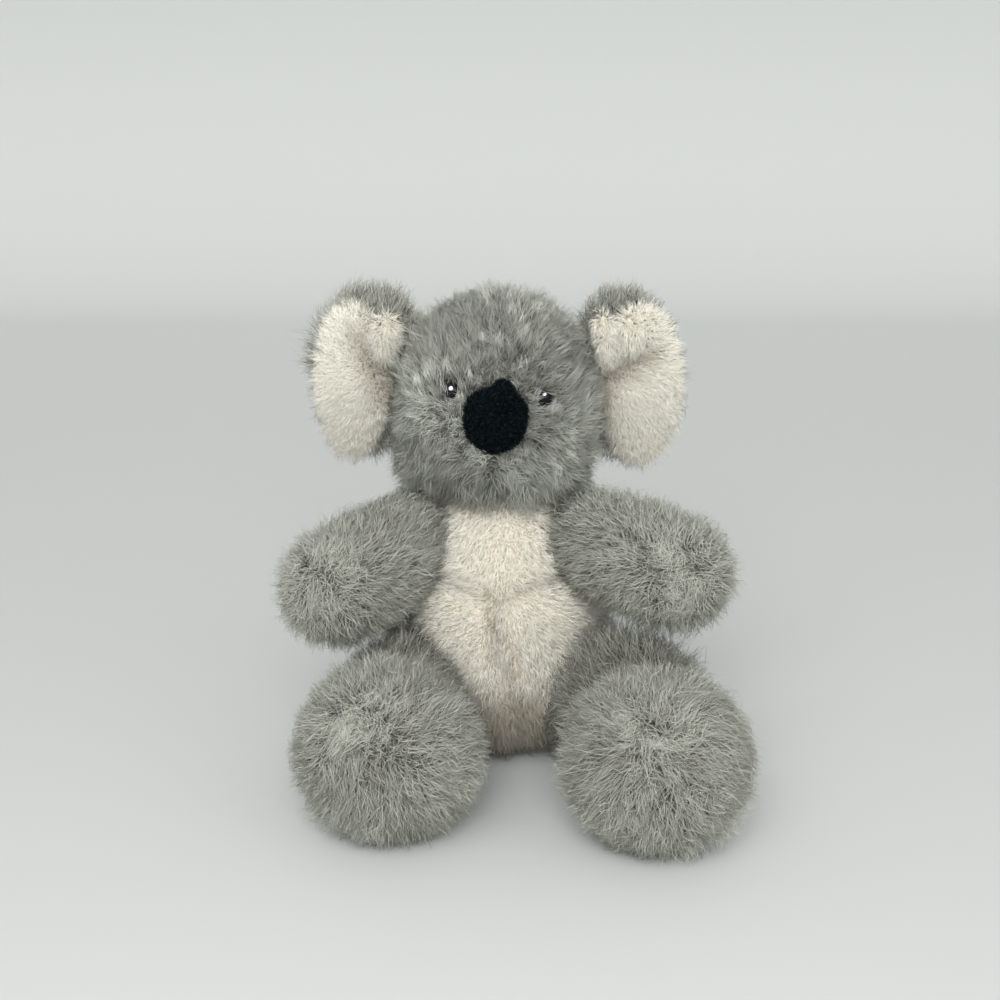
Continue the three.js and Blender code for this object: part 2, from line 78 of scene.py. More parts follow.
def smooth(low: float, high: float, x: Array) -> Array:
    """Rises from 0 at low to 1 at high on the curve 3s^2 - 2s^3.

    Args:
        low: Where the rise starts.
        high: Where it ends.
        x: The values to read.

    Returns:
        The risen values, from 0 to 1.
    """
    s = np.clip((x - low) / (high - low), 0, 1)
    return s * s * (3 - 2 * s)


def bell(x: Array, wide: float) -> Array:
    """A bell curve: one at zero, and e to the minus square of x over its width elsewhere."""
    return np.exp(-((x / wide) ** 2))


def share_at(shares: Shares, t: Array) -> Array:
    """Reads evenly spread shares on a smooth cubic curve through all of them.

    The curve is Catmull and Rom's: between two shares its slope at each is half the difference of
    that share's neighbours, and the end shares stand for the neighbours that they lack.

    Args:
        shares: The shares from 0 to 1.
        t: Where to read them.

    Returns:
        One share for each place.
    """
    table = np.asarray(shares, float)
    place = (len(table) - 1) * t
    k = np.minimum(np.floor(place).astype(int), len(table) - 1)
    w = place - k
    before, here = table[np.maximum(k - 1, 0)], table[k]
    after, later = table[np.minimum(k + 1, len(table) - 1)], table[np.minimum(k + 2, len(table) - 1)]
    slope, next_slope = (after - before) / 2, (later - here) / 2
    cubic = 2 * here - 2 * after + slope + next_slope
    square = -3 * here + 3 * after - 2 * slope - next_slope
    return ((cubic * w + square) * w + slope) * w + here


def round_off(share: Array) -> Array:
    """A quarter ellipse that opens a form within the given share of its rounding."""
    x = np.clip(share, 0, 1)
    return np.sqrt(x * (2 - x))


def turn_about(points: Array, axis: int, degrees: float) -> Array:
    """Turns points about a main axis through the origin, by the right-hand rule.

    Args:
        points: Rows of points.
        axis: 0 for X, 1 for Y, 2 for Z.
        degrees: How far.

    Returns:
        The turned points.
    """
    one, two = (axis + 1) % 3, (axis + 2) % 3
    angle = math.radians(degrees)
    c, s = math.cos(angle), math.sin(angle)
    turned = np.array(points, float)
    turned[..., one] = points[..., one] * c - points[..., two] * s
    turned[..., two] = points[..., one] * s + points[..., two] * c
    return turned


def waves(points: Array, scale: float, seed: int, kinds: int = 5) -> Array:
    """Smooth noise with three channels: for each, a sum of sines along seeded random directions.

    Args:
        points: Where to read it.
        scale: The length over which it changes.
        seed: Which noise.
        kinds: How many sines each channel adds up.

    Returns:
        Three values for each point, mostly within -1 to 1.
    """
    rng = np.random.default_rng(seed)
    total = np.zeros((len(points), 3))
    for _ in range(kinds):
        direction = rng.normal(size=(3, 3)) / scale
        total += np.sin(points @ direction + rng.uniform(0, 2 * np.pi, 3))
    return total / math.sqrt(kinds)


@dataclass
class Skin:
    """A closed surface of triangles: cloth that a pile can grow on."""

    points: Array
    faces: Array
    outward: Array | None = None

    def across(self) -> Array:
        """For each triangle, a vector square to it whose length is twice the triangle's area."""
        a, b, c = (self.points[self.faces[:, k]] for k in range(3))
        return np.cross(b - a, c - a)

    def normals(self) -> Array:
        """The mean outward direction of the triangles round each point, by their areas."""
        if self.outward is not None:
            return self.outward
        total, across = np.zeros_like(self.points), self.across()
        for k in range(3):
            np.add.at(total, self.faces[:, k], across)
        return unit(total)

    def area(self, share: Array) -> Array:
        """Each triangle's area times its own share."""
        return np.linalg.norm(self.across(), axis=1) / 2 * share

    def scatter(self, count: int, share: Field, rng: np.random.Generator) -> tuple[Array, Array]:
        """Spreads points evenly over the area.

        Args:
            count: How many points.
            share: How densely each place is covered, from 0 to 1.
            rng: The seeded draw.

        Returns:
            The points and the skin's outward directions there.
        """
        middles = self.points[self.faces].mean(axis=1)
        running = np.cumsum(self.area(share(middles)))
        picks = (np.arange(count) + rng.random(count)) / count * running[-1]
        face = np.minimum(np.searchsorted(running, picks), len(self.faces) - 1)
        r, s = np.sqrt(rng.random(count)), rng.random(count)
        weights = np.stack([1 - r, r * (1 - s), r * s], axis=1)[:, :, None]
        corners = self.faces[face]
        spots = (self.points[corners] * weights).sum(axis=1)
        return spots, unit((self.normals()[corners] * weights).sum(axis=1))

    def moved(self, points: Array) -> "Skin":
        """The same triangles on other points."""
        return Skin(points, self.faces)

    def toward(self, direction: Array, least: float) -> "Skin":
        """The triangles that face a direction by at least a cosine, with the whole skin's normals."""
        out = self.normals()
        return Skin(self.points, self.faces[unit(out[self.faces].sum(axis=1)) @ direction > least], out)

    def build(self, name: str) -> bpy.types.Object:
        """Makes a smooth object of the skin, linked to the scene."""
        return mesh_object(name, self.points, self.faces)


def link_new(name: str, data: bpy.types.ID) -> bpy.types.Object:
    """Makes an object of a mesh, a lamp or a camera and links it to the scene.

    Args:
        name: The object's name.
        data: The mesh, lamp or camera.

    Returns:
        The object.
    """
    made = bpy.data.objects.new(name, data)
    bpy.context.scene.collection.objects.link(made)
    return made


def mesh_object(name: str, points: Array, faces: Array, uv: Array | None = None) -> bpy.types.Object:
    """Makes a smooth mesh object from whole arrays.

    Args:
        name: The piece's name.
        points: Rows of points in metres.
        faces: Rows of three point numbers, counter-clockwise from outside.
        uv: One place on the pile map for each corner of each face.

    Returns:
        The object, at the origin and linked to the scene.
    """
    mesh = bpy.data.meshes.new(name)
    mesh.vertices.add(len(points))
    mesh.vertices.foreach_set("co", points.astype(np.float32).ravel())
    mesh.loops.add(faces.size)
    mesh.loops.foreach_set("vertex_index", faces.astype(np.int32).ravel())
    mesh.polygons.add(len(faces))
    mesh.polygons.foreach_set("loop_start", np.arange(0, faces.size, 3, dtype=np.int32))
    mesh.polygons.foreach_set("use_smooth", np.ones(len(faces), bool))
    if uv is not None:
        layer = mesh.uv_layers.new(name=PILE_MAP)
        layer.uv.foreach_set("vector", uv.astype(np.float32).ravel())
    mesh.update(calc_edges=True)
    return link_new(name, mesh)


def quad_faces(a: Array, b: Array, c: Array, d: Array) -> Array:
    """Splits each four-cornered face a, b, c, d into the triangles a, b, c and a, c, d."""
    return np.concatenate([np.stack(f, axis=-1).reshape(-1, 3) for f in ((a, b, c), (a, c, d))])


def ring_faces(rings: int, sides: int) -> Array:
    """The triangles of a closed form: a first pole, rings of points, and a last pole.

    Args:
        rings: How many rings lie between the poles.
        sides: How many points each ring has.

    Returns:
        Rows of three point numbers.
    """
    k = np.arange(sides)
    following = (k + 1) % sides
    last = 1 + rings * sides
    first_fan = np.stack([np.zeros_like(k), 1 + following, 1 + k], axis=1)
    low = (1 + np.arange(rings - 1) * sides)[:, None]
    bands = quad_faces(low + k, low + following, low + sides + following, low + sides + k)
    last_fan = np.stack([np.full_like(k, last), last - sides + k, last - sides + following], axis=1)
    return np.concatenate([first_fan, bands, last_fan])


@dataclass(frozen=True)
class SwellForm:
    """A closed, swelling form on a bent centre line.

    The centre line is a curve of three points: its start, bend and end. Each section across it is
    an ellipse, whose half sizes are half the width and depth times their shares there, and both
    ends round off on a quarter ellipse. The depth lies toward the given direction. grow moves the
    whole surface outward.
    """

    curve: tuple[Vec | Array, Vec | Array, Vec | Array]
    toward: Vec
    size: Pair
    shares: tuple[Shares, Shares]
    rounds: Pair

    def line(self, t: Array, grow: float) -> tuple[Array, Array]:
        """The centre line's points and directions.

        Args:
            t: Where, from 0 to 1.
            grow: How far the surface is moved outward, which lengthens the line too.

        Returns:
            Points and unit directions.
        """
        start, bend, end = (np.array(p, float) for p in self.curve)
        start = start - unit(bend - start) * grow
        end = end + unit(end - bend) * grow
        t = t[:, None]
        spots = start * (1 - t) ** 2 + 2 * bend * t * (1 - t) + end * t**2
        return spots, unit(2 * (1 - t) * (bend - start) + 2 * t * (end - bend))

    def sections(self, t: Array, grow: float) -> tuple[Array, Array, Array, Array, Array]:
        """The sections across the centre line.

        Args:
            t: Where, from 0 to 1.
            grow: How far the surface is moved outward.

        Returns:
            Their centres, two unit axes, and the half size along each axis.
        """
        spots, along = self.line(t, grow)
        fine, _ = self.line(np.linspace(0, 1, 101), grow)
        length = np.linalg.norm(np.diff(fine, axis=0), axis=1).sum()
        across = unit(np.cross(np.array(self.toward, float), along))
        other = np.cross(along, across)
        closing = round_off(t * length / (self.rounds[0] + grow))
        closing = closing * round_off((1 - t) * length / (self.rounds[1] + grow))
        a, b = ((size / 2 * share_at(part, t) + grow) * closing for size, part in zip(self.size, self.shares))
        return spots, across, other, a, b

    def skin(self, grow: float, rings: int = 46, sides: int = 60) -> Skin:
        """The form's surface.

        Args:
            grow: How far it is moved outward.
            rings: Rings along the line, closer together near its ends.
            sides: Points round each ring.

        Returns:
            A closed skin.
        """
        t = (1 - np.cos(np.pi * np.arange(1, rings + 1) / (rings + 1))) / 2
        spots, across, other, a, b = self.sections(t, grow)
        turn = 2 * np.pi * np.arange(sides) / sides
        ring = (
            spots[:, None]
            + across[:, None] * (a[:, None] * np.cos(turn))[..., None]
            + other[:, None] * (b[:, None] * np.sin(turn))[..., None]
        )
        ends, _ = self.line(np.array([0.0, 1.0]), grow)
        points = np.concatenate([ends[:1], ring.reshape(-1, 3), ends[1:]])
        return Skin(points, ring_faces(rings, sides))

    def holds(self, points: Array, grow: float) -> Array:
        """Which points lie inside the form.

        Args:
            points: Rows of points.
            grow: How far the surface is moved outward.

        Returns:
            True for each point whose nearest section holds it.
        """
        t = np.linspace(0.004, 0.996, 120)
        spots, across, other, a, b = self.sections(t, grow)
        k = nearest(points, spots)
        away = points - spots[k]
        x = (away * across[k]).sum(axis=1) / np.maximum(a[k], TINY)
        y = (away * other[k]).sum(axis=1) / np.maximum(b[k], TINY)
        reach = np.linalg.norm(spots[1] - spots[0]) * 2
        along = np.abs((away * np.cross(across[k], other[k])).sum(axis=1))
        return (x * x + y * y < 1) & (along < reach)


def nearest(points: Array, centres: Array) -> Array:
    """Finds the centre nearest to each point, by the least square distance.

    Args:
        points: Rows of points.
        centres: Rows of centres.

    Returns:
        The number of each point's centre.
    """
    found = np.empty(len(points), int)
    square = (centres**2).sum(axis=1)
    for first in range(0, len(points), CHUNK):
        part = points[first : first + CHUNK]
        found[first : first + CHUNK] = (square - 2 * part @ centres.T).argmin(axis=1)
    return found


def uncovered(points: Array, covers: list[tuple[SwellForm, float]]) -> Array:
    """Which points none of the covering forms holds, each grown by its own distance."""
    return ~np.any([form.holds(points, grow) for form, grow in covers], axis=0)


def ball_form(middle: Array, along: Array, radius: float, tall: float) -> SwellForm:
    """A ball as a form whose line runs through its middle.

    Args:
        middle: The ball's middle.
        along: The line's direction.
        radius: Half the ball's width.
        tall: Its height and length as a share of its width.

    Returns:
        The form.
    """
    reach = radius * tall
    return SwellForm(
        curve=(middle - along * reach, middle, middle + along * reach),
        toward=(0, 0, 1),
        size=(2 * radius, 2 * reach),
        shares=(EVEN, EVEN),
        rounds=(reach, reach),
    )


class Side(Enum):
    """The koala's own left, at +X, and its own right."""

    LEFT = 1
    RIGHT = -1

    @property
    def label(self) -> str:
        """The side's word in the names of pieces and bodies."""
        return self.name.lower()

    def pick(self, pair: tuple[Any, Any]) -> Any:
        """The side's own one of a left and a right value."""
        return pair[0] if self is Side.LEFT else pair[1]


def add_node(tree: Tree, kind: str, inputs: dict[int | str, Any], **settings: Any) -> bpy.types.Node:
    """Adds a shader node to a tree.

    Args:
        tree: The tree.
        kind: The node's kind.
        inputs: For an input's number or name, its plain value or the socket that feeds it.
        settings: The node's own settings.

    Returns:
        The node.
    """
    node = tree.nodes.new(f"ShaderNode{kind}")
    for label, value in settings.items():
        setattr(node, label, value)
    for label, value in inputs.items():
        if isinstance(value, Socket):
            tree.links.new(value, node.inputs[label])
        else:
            node.inputs[label].default_value = value
    return node


def math_node(tree: Tree, kind: str, *values: float | Socket) -> Socket:
    """Adds a Math node on plain numbers or sockets, and returns its output."""
    return add_node(tree, "Math", dict(enumerate(values)), operation=kind).outputs[0]


def mix_node(tree: Tree, factor: float | Socket, a: Socket, b: Socket, blend: str = "MIX") -> Socket:
    """Adds a mix of two colours, and returns its output."""
    return add_node(tree, "Mix", {0: factor, 6: a, 7: b}, data_type="RGBA", blend_type=blend).outputs[2]


def range_node(tree: Tree, value: Socket, low: float, high: float) -> Socket:
    """Adds a smooth rise from 0 at low to 1 at high, and returns its output."""
    inputs = {0: value, 1: low, 2: high}
    return add_node(tree, "MapRange", inputs, interpolation_type="SMOOTHSTEP").outputs[0]


def new_group(
    name: str, inputs: dict[str, str], outputs: dict[str, str]
) -> tuple[Tree, bpy.types.Node, bpy.types.Node]:
    """Makes an empty shader node group with named sockets.

    Args:
        name: The group's name.
        inputs: The kind of each named input.
        outputs: The kind of each named output.

    Returns:
        The group and its input and output nodes.
    """
    group = bpy.data.node_groups.new(name, "ShaderNodeTree")
    for way, sockets in (("INPUT", inputs), ("OUTPUT", outputs)):
        for label, kind in sockets.items():
            group.interface.new_socket(name=label, in_out=way, socket_type=f"NodeSocket{kind}")
    return group, group.nodes.new("NodeGroupInput"), group.nodes.new("NodeGroupOutput")


@cache
def strand_tone_group() -> Tree:
    """The colour of a strand, built once: root, middle and tip colours along the map's height, and
    lighter or darker, warmer or cooler tone across its width, which holds random tone and painted
    shade alike."""
    inputs = {"Place": "Vector", "Root": "Color", "Middle": "Color", "Tip": "Color", "Spread": "Float"}
    group, into, out = new_group("strand_tone", inputs | {"Warmth": "Float"}, {"Color": "Color"})
    split = add_node(group, "SeparateXYZ", {0: into.outputs["Place"]})
    across, up = split.outputs[0], split.outputs[1]
    base = mix_node(group, range_node(group, up, 0.0, 0.5), into.outputs["Root"], into.outputs["Middle"])
    body = mix_node(group, range_node(group, up, 0.45, 0.95), base, into.outputs["Tip"])
    offset = math_node(group, "MULTIPLY_ADD", across, 2.0, -1.0)
    light = math_node(group, "MULTIPLY_ADD", offset, into.outputs["Spread"], 1.0)
    low = math_node(group, "MULTIPLY", math_node(group, "MINIMUM", offset, 0.0), into.outputs["Warmth"])
    less = [math_node(group, "MULTIPLY_ADD", low, k, 1.0) for k in (1.0, 2.0)]
    green, blue = (math_node(group, "MULTIPLY", part, light) for part in less)
    dye = add_node(group, "CombineColor", {0: light, 1: green, 2: blue})
    group.links.new(mix_node(group, 1.0, body, dye.outputs[0], "MULTIPLY"), out.inputs["Color"])
    return group


@cache
def mottle_group() -> Tree:
    """Uneven dye and a rough height on Object coordinates, built once: two noises, broad and fine."""
    inputs = {"Dark": "Color", "Light": "Color", "Broad": "Float", "Fine": "Float"}
    group, into, out = new_group("mottle", inputs, {"Color": "Color", "Height": "Float"})
    place = add_node(group, "TexCoord", {}).outputs["Object"]
    broad, fine = (
        add_node(group, "TexNoise", {"Vector": place, "Scale": into.outputs[label], "Detail": 3}).outputs[0]
        for label in ("Broad", "Fine")
    )
    total = math_node(group, "MULTIPLY_ADD", broad, 0.6, math_node(group, "MULTIPLY", fine, 0.4))
    mask = range_node(group, total, 0.35, 0.65)
    group.links.new(mix_node(group, mask, into.outputs["Dark"], into.outputs["Light"]), out.inputs["Color"])
    group.links.new(fine, out.inputs["Height"])
    return group


def new_material(name: str) -> tuple[bpy.types.Material, bpy.types.Node]:
    """Makes a material with nodes.

    Args:
        name: Its name.

    Returns:
        The material and its shader.
    """
    made = bpy.data.materials.new(name)
    made.use_nodes = True
    return made, made.node_tree.nodes["Principled BSDF"]


@dataclass(frozen=True, kw_only=True)
class Finish:
    """What every finish has: its name, a slot and how it shines."""

    name: str
    slot: str
    roughness: float
    specular: float

    def surface(self, tree: Tree) -> dict[str, Socket]:
        """Adds the finish's own nodes, and returns what feeds each named input of the shader."""
        raise NotImplementedError

    def material(self) -> bpy.types.Material:
        """Builds the finish's material once and returns it after that."""
        if self.name in bpy.data.materials:
            return bpy.data.materials[self.name]
        made, shader = new_material(self.name)
        shader.inputs["Roughness"].default_value = self.roughness
        shader.inputs["Specular IOR Level"].default_value = self.specular
        for label, socket in self.surface(made.node_tree).items():
            made.node_tree.links.new(socket, shader.inputs[label])
        return made


@dataclass(frozen=True, kw_only=True)
class PileFinish(Finish):
    """The look of a pile's strands: colours from root to tip, and how far their tint varies, with random tone
    and painted shade.
    """

    root: Vec
    middle: Vec
    tip: Vec
    spread: float
    warmth: float
    roughness: float = 0.8
    specular: float = 0.2

    def surface(self, tree: Tree) -> dict[str, Socket]:
        """Feeds the colour from the strand tone, read on the pile map.

        Args:
            tree: The material's nodes.

        Returns:
            What feeds each named input of the shader.
        """
        colours = {"Root": (*self.root, 1), "Middle": (*self.middle, 1), "Tip": (*self.tip, 1)}
        place = add_node(tree, "UVMap", {}, uv_map=PILE_MAP).outputs["UV"]
        values = colours | {"Place": place, "Spread": self.spread, "Warmth": self.warmth}
        return {"Base Color": add_node(tree, "Group", values, node_tree=strand_tone_group()).outputs["Color"]}


@dataclass(frozen=True, kw_only=True)
class MottledFinish(Finish):
    """A plain soft or moulded surface with uneven colour and a fine rough height."""

    dark: Vec
    light: Vec
    broad: float = 90.0
    fine: float = 1400.0
    bump: float = 0.0004
    roughness: float = 0.95
    specular: float = 0.1

    def surface(self, tree: Tree) -> dict[str, Socket]:
        """Feeds the colour and the normal from the mottle.

        Args:
            tree: The material's nodes.

        Returns:
            What feeds each named input of the shader.
        """
        values = {"Dark": (*self.dark, 1), "Light": (*self.light, 1), "Broad": self.broad, "Fine": self.fine}
        mottle = add_node(tree, "Group", values, node_tree=mottle_group())
        height = {"Strength": 1.0, "Distance": self.bump, "Height": mottle.outputs["Height"]}
        bump = add_node(tree, "Bump", height)
        return {"Base Color": mottle.outputs["Color"], "Normal": bump.outputs["Normal"]}


GREY_PILE = PileFinish(
    name="grey_pile",
    slot="grey_fur",
    root=(0.17, 0.173, 0.150),
    middle=(0.38, 0.384, 0.335),
    tip=(0.70, 0.705, 0.63),
    spread=0.36,
    warmth=0.015,
)
# The head pile's near-black roots are painted shade: they darken the gaps between its tufts.
HEAD_PILE = PileFinish(
    name="grey_head_pile",
    slot="grey_fur",
    root=(0.055, 0.061, 0.057),
    middle=(0.293, 0.303, 0.271),
    tip=(0.768, 0.784, 0.714),
    spread=0.38,
    warmth=0.02,
)
CREAM_PILE = PileFinish(
    name="cream_pile",
    slot="cream_fur",
    root=(0.84, 0.78, 0.665),
    middle=(0.93, 0.90, 0.80),
    tip=(0.97, 0.96, 0.89),
    spread=0.40,
    warmth=0.07,
)
# The velour's lighter, bluish tips are painted sheen: they stand in for the glints of its nap.
BLACK_PILE = PileFinish(
    name="black_velour",
    slot="black_pile",
    root=(0.001, 0.002, 0.003),
    middle=(0.002, 0.005, 0.006),
    tip=(0.021, 0.036, 0.042),
    spread=0.9,
    warmth=0.1,
    roughness=0.7,
    specular=0.08,
)
GREY_CLOTH = MottledFinish(
    name="grey_backing", slot="grey_fur", dark=(0.20, 0.202, 0.175), light=(0.27, 0.272, 0.235)
)
CREAM_CLOTH = MottledFinish(
    name="cream_backing", slot="cream_fur", dark=(0.78, 0.70, 0.58), light=(0.88, 0.82, 0.71)
)
BLACK_CLOTH = MottledFinish(
    name="black_backing",
    slot="black_pile",
    dark=(0.001, 0.002, 0.003),
    light=(0.003, 0.005, 0.006),
    broad=200.0,
    fine=1800.0,
    bump=0.0003,
    specular=0.03,
)
EYE_GLOSS = MottledFinish(
    name="eye_black",
    slot="eye_plastic",
    dark=(0.0006, 0.0006, 0.0008),
    light=(0.0012, 0.0012, 0.0014),
    broad=40.0,
    fine=300.0,
    bump=0.000002,
    roughness=0.05,
    specular=0.12,
)
WASHER_WHITE = MottledFinish(
    name="washer_white",
    slot="washer_plastic",
    dark=(0.70, 0.70, 0.68),
    light=(0.82, 0.82, 0.80),
    broad=120.0,
    fine=1500.0,
    bump=0.00005,
    roughness=0.45,
    specular=0.5,
)
FIBRE = MottledFinish(
    name="fibre_fill",
    slot="stuffing",
    dark=(0.66, 0.66, 0.64),
    light=(0.88, 0.88, 0.86),
    broad=110.0,
    fine=700.0,
    bump=0.0015,
    roughness=1.0,
)
LINEN = MottledFinish(
    name="pellet_linen",
    slot="pellet_bag",
    dark=(0.58, 0.56, 0.50),
    light=(0.76, 0.74, 0.68),
    broad=160.0,
    fine=1900.0,
    roughness=0.9,
    specular=0.5,
)


def dress(piece: bpy.types.Object, finish: Finish, body: str, *nodes: str) -> bpy.types.Object:
    """Gives a piece its material and body, and hides the frame's nodes that it stands for.

    Args:
        piece: The piece, in its place.
        finish: Its look.
        body: The body that carries it.
        nodes: The frame's nodes that it replaces.

    Returns:
        The piece.
    """
    piece.data.materials.clear()
    piece.data.materials.append(finish.material())
    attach(piece, body)
    if nodes:
        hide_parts(*nodes)
    log.info("%s: %d faces on %s", piece.name, len(piece.data.polygons), body)
    return piece


def cover(skin: Skin, name: str, finish: Finish, body: str, node: str) -> None:
    """Args:
        skin: The cover's surface.
        name: The piece's name.
        finish: Its look.
        body: The body that carries it.
        node: The frame's node that it replaces.
    """
    shell = dress(skin.build(name), finish, body, node)


@dataclass(frozen=True)
class Pile:
    """How a pile stands: its length, how far it lies over, and how it gathers in tufts.

    It has two layers. The long one gathers in pointed tufts, and the short one under it is frizzy
    and keeps to itself.
    """

    length: float = 0.0132
    rise: float = 57.0
    droop: float = 36.0
    radius: float = 0.00012
    tuft: float = 0.0020
    clump: float = 0.62
    sway: float = 0.42
    frizz: float = 0.46
    curl: float = 0.0017
    spread: float = 0.15
    swirl: float = 0.38
    swirl_scale: float = 0.010
    sink: float = 0.0007
    under: float = 0.50
    under_length: float = 0.70
    under_radius: float = 0.00017
    under_frizz: float = 0.60
    under_clump: float = 0.10
    vary: float = 1.0


BODY_COAT = Pile()
BELLY_COAT = Pile(
    length=0.0088,
    rise=58,
    droop=24,
    radius=0.00010,
    tuft=0.0015,
    clump=0.26,
    sway=0.22,
    frizz=0.26,
    curl=0.0008,
    swirl=0.22,
    under_radius=0.00013,
    vary=0.22,
)
HEAD_COAT = Pile(
    length=0.0136,
    rise=55,
    radius=0.00013,
    tuft=0.0022,
    clump=0.60,
    sway=0.46,
    frizz=0.30,
    curl=0.0012,
    swirl=0.42,
    under=0.46,
    under_length=0.62,
    under_clump=0.15,
)
NOSE_NAP = Pile(
    length=0.0020, rise=50, droop=22, tuft=0.0011, clump=0.65, sway=0.6, curl=0.0003, sink=0.0002
)
EAR_BACK_COAT = Pile(length=0.0128, rise=42, droop=24)
EAR_FRONT_COAT = Pile(
    length=0.0078,
    rise=58,
    droop=34,
    radius=0.00009,
    tuft=0.0012,
    clump=0.15,
    sway=0.16,
    frizz=0.26,
    curl=0.0008,
    swirl=0.18,
    under=0.40,
    under_radius=0.00014,
    vary=0.18,
)


def even(points: Array) -> Array:
    """One for every point."""
    return np.ones(len(points))


def level(points: Array) -> Array:
    """Nothing for every point."""
    return np.zeros(len(points))


@dataclass(frozen=True)
class PileField:
    """What changes from place to place on a pile.

    Its lie is a direction, as long as the comb is strong. Where grows is zero there is no pile, its
    length is a share of the coat's own, and its tint, random tone with painted shade and light, is
    lighter above zero.
    """

    lie: Field
    grows: Field
    length: Field = even
    tint: Field = level


def strand_paths(
    pile: Pile, where: PileField, spots: Array, out: Array, tuft_draw: Array, own_draw: Array, under: Array
) -> tuple[Array, Array, Array]:
    """Works out root, middle and tip of each strand.

    The strand leaves its root at the pile's rise over the skin, toward the comb's direction there,
    and its outer part lies over by the droop. Where the comb is weak it stands more upright. The
    tuft's draw turns and scales all strands of one tuft alike, and the strand's own draw adds a
    little more, and much more to a strand of the short layer.

    Args:
        pile: The pile's figures.
        where: Its fields.
        spots: The roots on the skin.
        out: The skin's outward directions there.
        tuft_draw: Four normal draws for each strand's tuft.
        own_draw: Four normal draws for each strand.
        under: Which strands belong to the short layer.

    Returns:
        Roots, middles and tips.
    """
    comb = where.lie(spots)
    comb = comb + waves(spots, pile.swirl_scale, 11) * pile.swirl
    frizz = np.where(under, pile.under_frizz, pile.frizz)[:, None]
    comb = comb + tuft_draw[:, :3] * pile.sway + own_draw[:, :3] * frizz
    comb = comb - (comb * out).sum(axis=1, keepdims=True) * out
    lean = smooth(0.0, 1.0, np.linalg.norm(comb, axis=1))
    rise = np.radians(90 - (90 - pile.rise) * lean)[:, None]
    along = unit(comb)
    first = np.sin(rise) * out + np.cos(rise) * along
    lower = rise - np.radians(pile.droop) * lean[:, None]
    second = np.sin(lower) * out + np.cos(lower) * along
    spread = 1 + pile.spread * (0.75 * tuft_draw[:, 3] + 0.5 * own_draw[:, 3])
    spread = np.clip(spread, 0.45, 1.5) * np.where(under, pile.under_length, 1.0)
    reach = (pile.length * where.length(spots) * spread)[:, None]
    root = spots - out * pile.sink
    middle = root + first * reach * 0.45
    return root, middle, middle + second * reach * 0.55


def grow_pile(name: str, skin: Skin, pile: Pile, where: PileField, count: int, seed: int) -> bpy.types.Object:
    """Grows a pile on a skin: closed, three-sided strands, thickest at their middle.

    Args:
        name: The piece's name.
        skin: What it grows on.
        pile: How it stands.
        where: What changes over the skin.
        count: How many strands.
        seed: The draw's seed.

    Returns:
        The strands as one object.
    """
    rng = np.random.default_rng(seed)
    spots, out = skin.scatter(count, where.grows, rng)
    covered = skin.area(where.grows(skin.points[skin.faces].mean(axis=1))).sum()
    tufts = max(8, int(covered / pile.tuft**2))
    centres, centres_out = skin.scatter(tufts, where.grows, rng)
    tuft_draws = np.clip(rng.normal(size=(tufts, 5)), -2, 2)
    own_draws = np.clip(rng.normal(size=(count, 5)), -2, 2)
    under = rng.random(count) < pile.under
    mine = nearest(spots, centres)
    root, middle, tip = strand_paths(pile, where, spots, out, tuft_draws[mine], own_draws, under)
    still = np.zeros((tufts, 5))
    lead = strand_paths(pile, where, centres, centres_out, tuft_draws, still, still[:, 0] > 0)
    pull = np.where(under, pile.under_clump, pile.clump * (1 + 0.3 * tuft_draws[mine, 4]))
    pull = np.clip(pull * (1 + 0.25 * own_draws[:, 4]), 0, 0.93)[:, None]
    middle = middle + (lead[1][mine] - middle) * pull * 0.5
    middle = middle + rng.normal(size=(count, 3)) * pile.curl
    tip = tip + (lead[2][mine] - tip) * pull
    ground = 0.0009
    middle[:, 2] = np.maximum(middle[:, 2], ground + 0.0006 * rng.random(count))
    tip[:, 2] = np.maximum(tip[:, 2], ground + 0.0004 * rng.random(count))
    tint = 0.5 + (0.15 * tuft_draws[mine, 3] + 0.14 * own_draws[:, 3]) * pile.vary + where.tint(spots)
    tint = np.clip(tint, 0.02, 0.88)
    top = np.where(under, 0.62, 0.97)
    radius = np.where(under, pile.under_radius, pile.radius)
    points, faces, uv = strand_solids(root, middle, tip, radius, tint, top, rng)
    return mesh_object(name, points, faces, uv)


def strand_solids(
    root: Array, middle: Array, tip: Array, radius: Array, tint: Array, top: Array, rng: np.random.Generator
) -> tuple[Array, Array, Array]:
    """Turns strand paths into closed solids.

    Each strand is a point at its root, a ring of three corners at its middle and a point at its
    tip. On the pile map its width lies at its tint and its length runs up from the bottom.

    Args:
        root: The roots.
        middle: The middles.
        tip: The tips.
        radius: Each ring's radius.
        tint: Each strand's place across the map.
        top: How far up the map each strand's tip lies.
        rng: The seeded draw.

    Returns:
        Points, faces and the map's places for the faces' corners.
    """
    count = len(root)
    along = unit(tip - root)
    first = unit(np.cross(along, rng.normal(size=(count, 3))))
    second = np.cross(along, first)
    size = (radius * (0.75 + 0.5 * rng.random(count)))[:, None]
    ring = []
    for k in range(3):
        angle = 2 * math.pi * k / 3
        ring.append(middle + (first * math.cos(angle) + second * math.sin(angle)) * size)
    points = np.stack([root, *ring, tip], axis=1).reshape(-1, 3)
    one = np.array([[0, 2, 1], [0, 3, 2], [0, 1, 3], [4, 1, 2], [4, 2, 3], [4, 3, 1]])
    faces = (one[None] + 5 * np.arange(count)[:, None, None]).reshape(-1, 3)
    wide = 0.006
    across = np.array([[0.5, 1, 0], [1.5, 2, 1], [2.5, 3, 2], [0.5, 0, 1], [1.5, 1, 2], [2.5, 2, 3]]) * wide
    up = np.array([[0.03, 0.45, 0.45]] * 3 + [[0.97, 0.45, 0.45]] * 3)
    places = np.empty((count, 6, 3, 2))
    places[..., 0] = across[None] + (np.round(tint * 45) / 48)[:, None, None]
    places[..., 1] = np.where(up > 0.9, top[:, None, None], up[None])
    return points, faces, places.reshape(-1, 2)


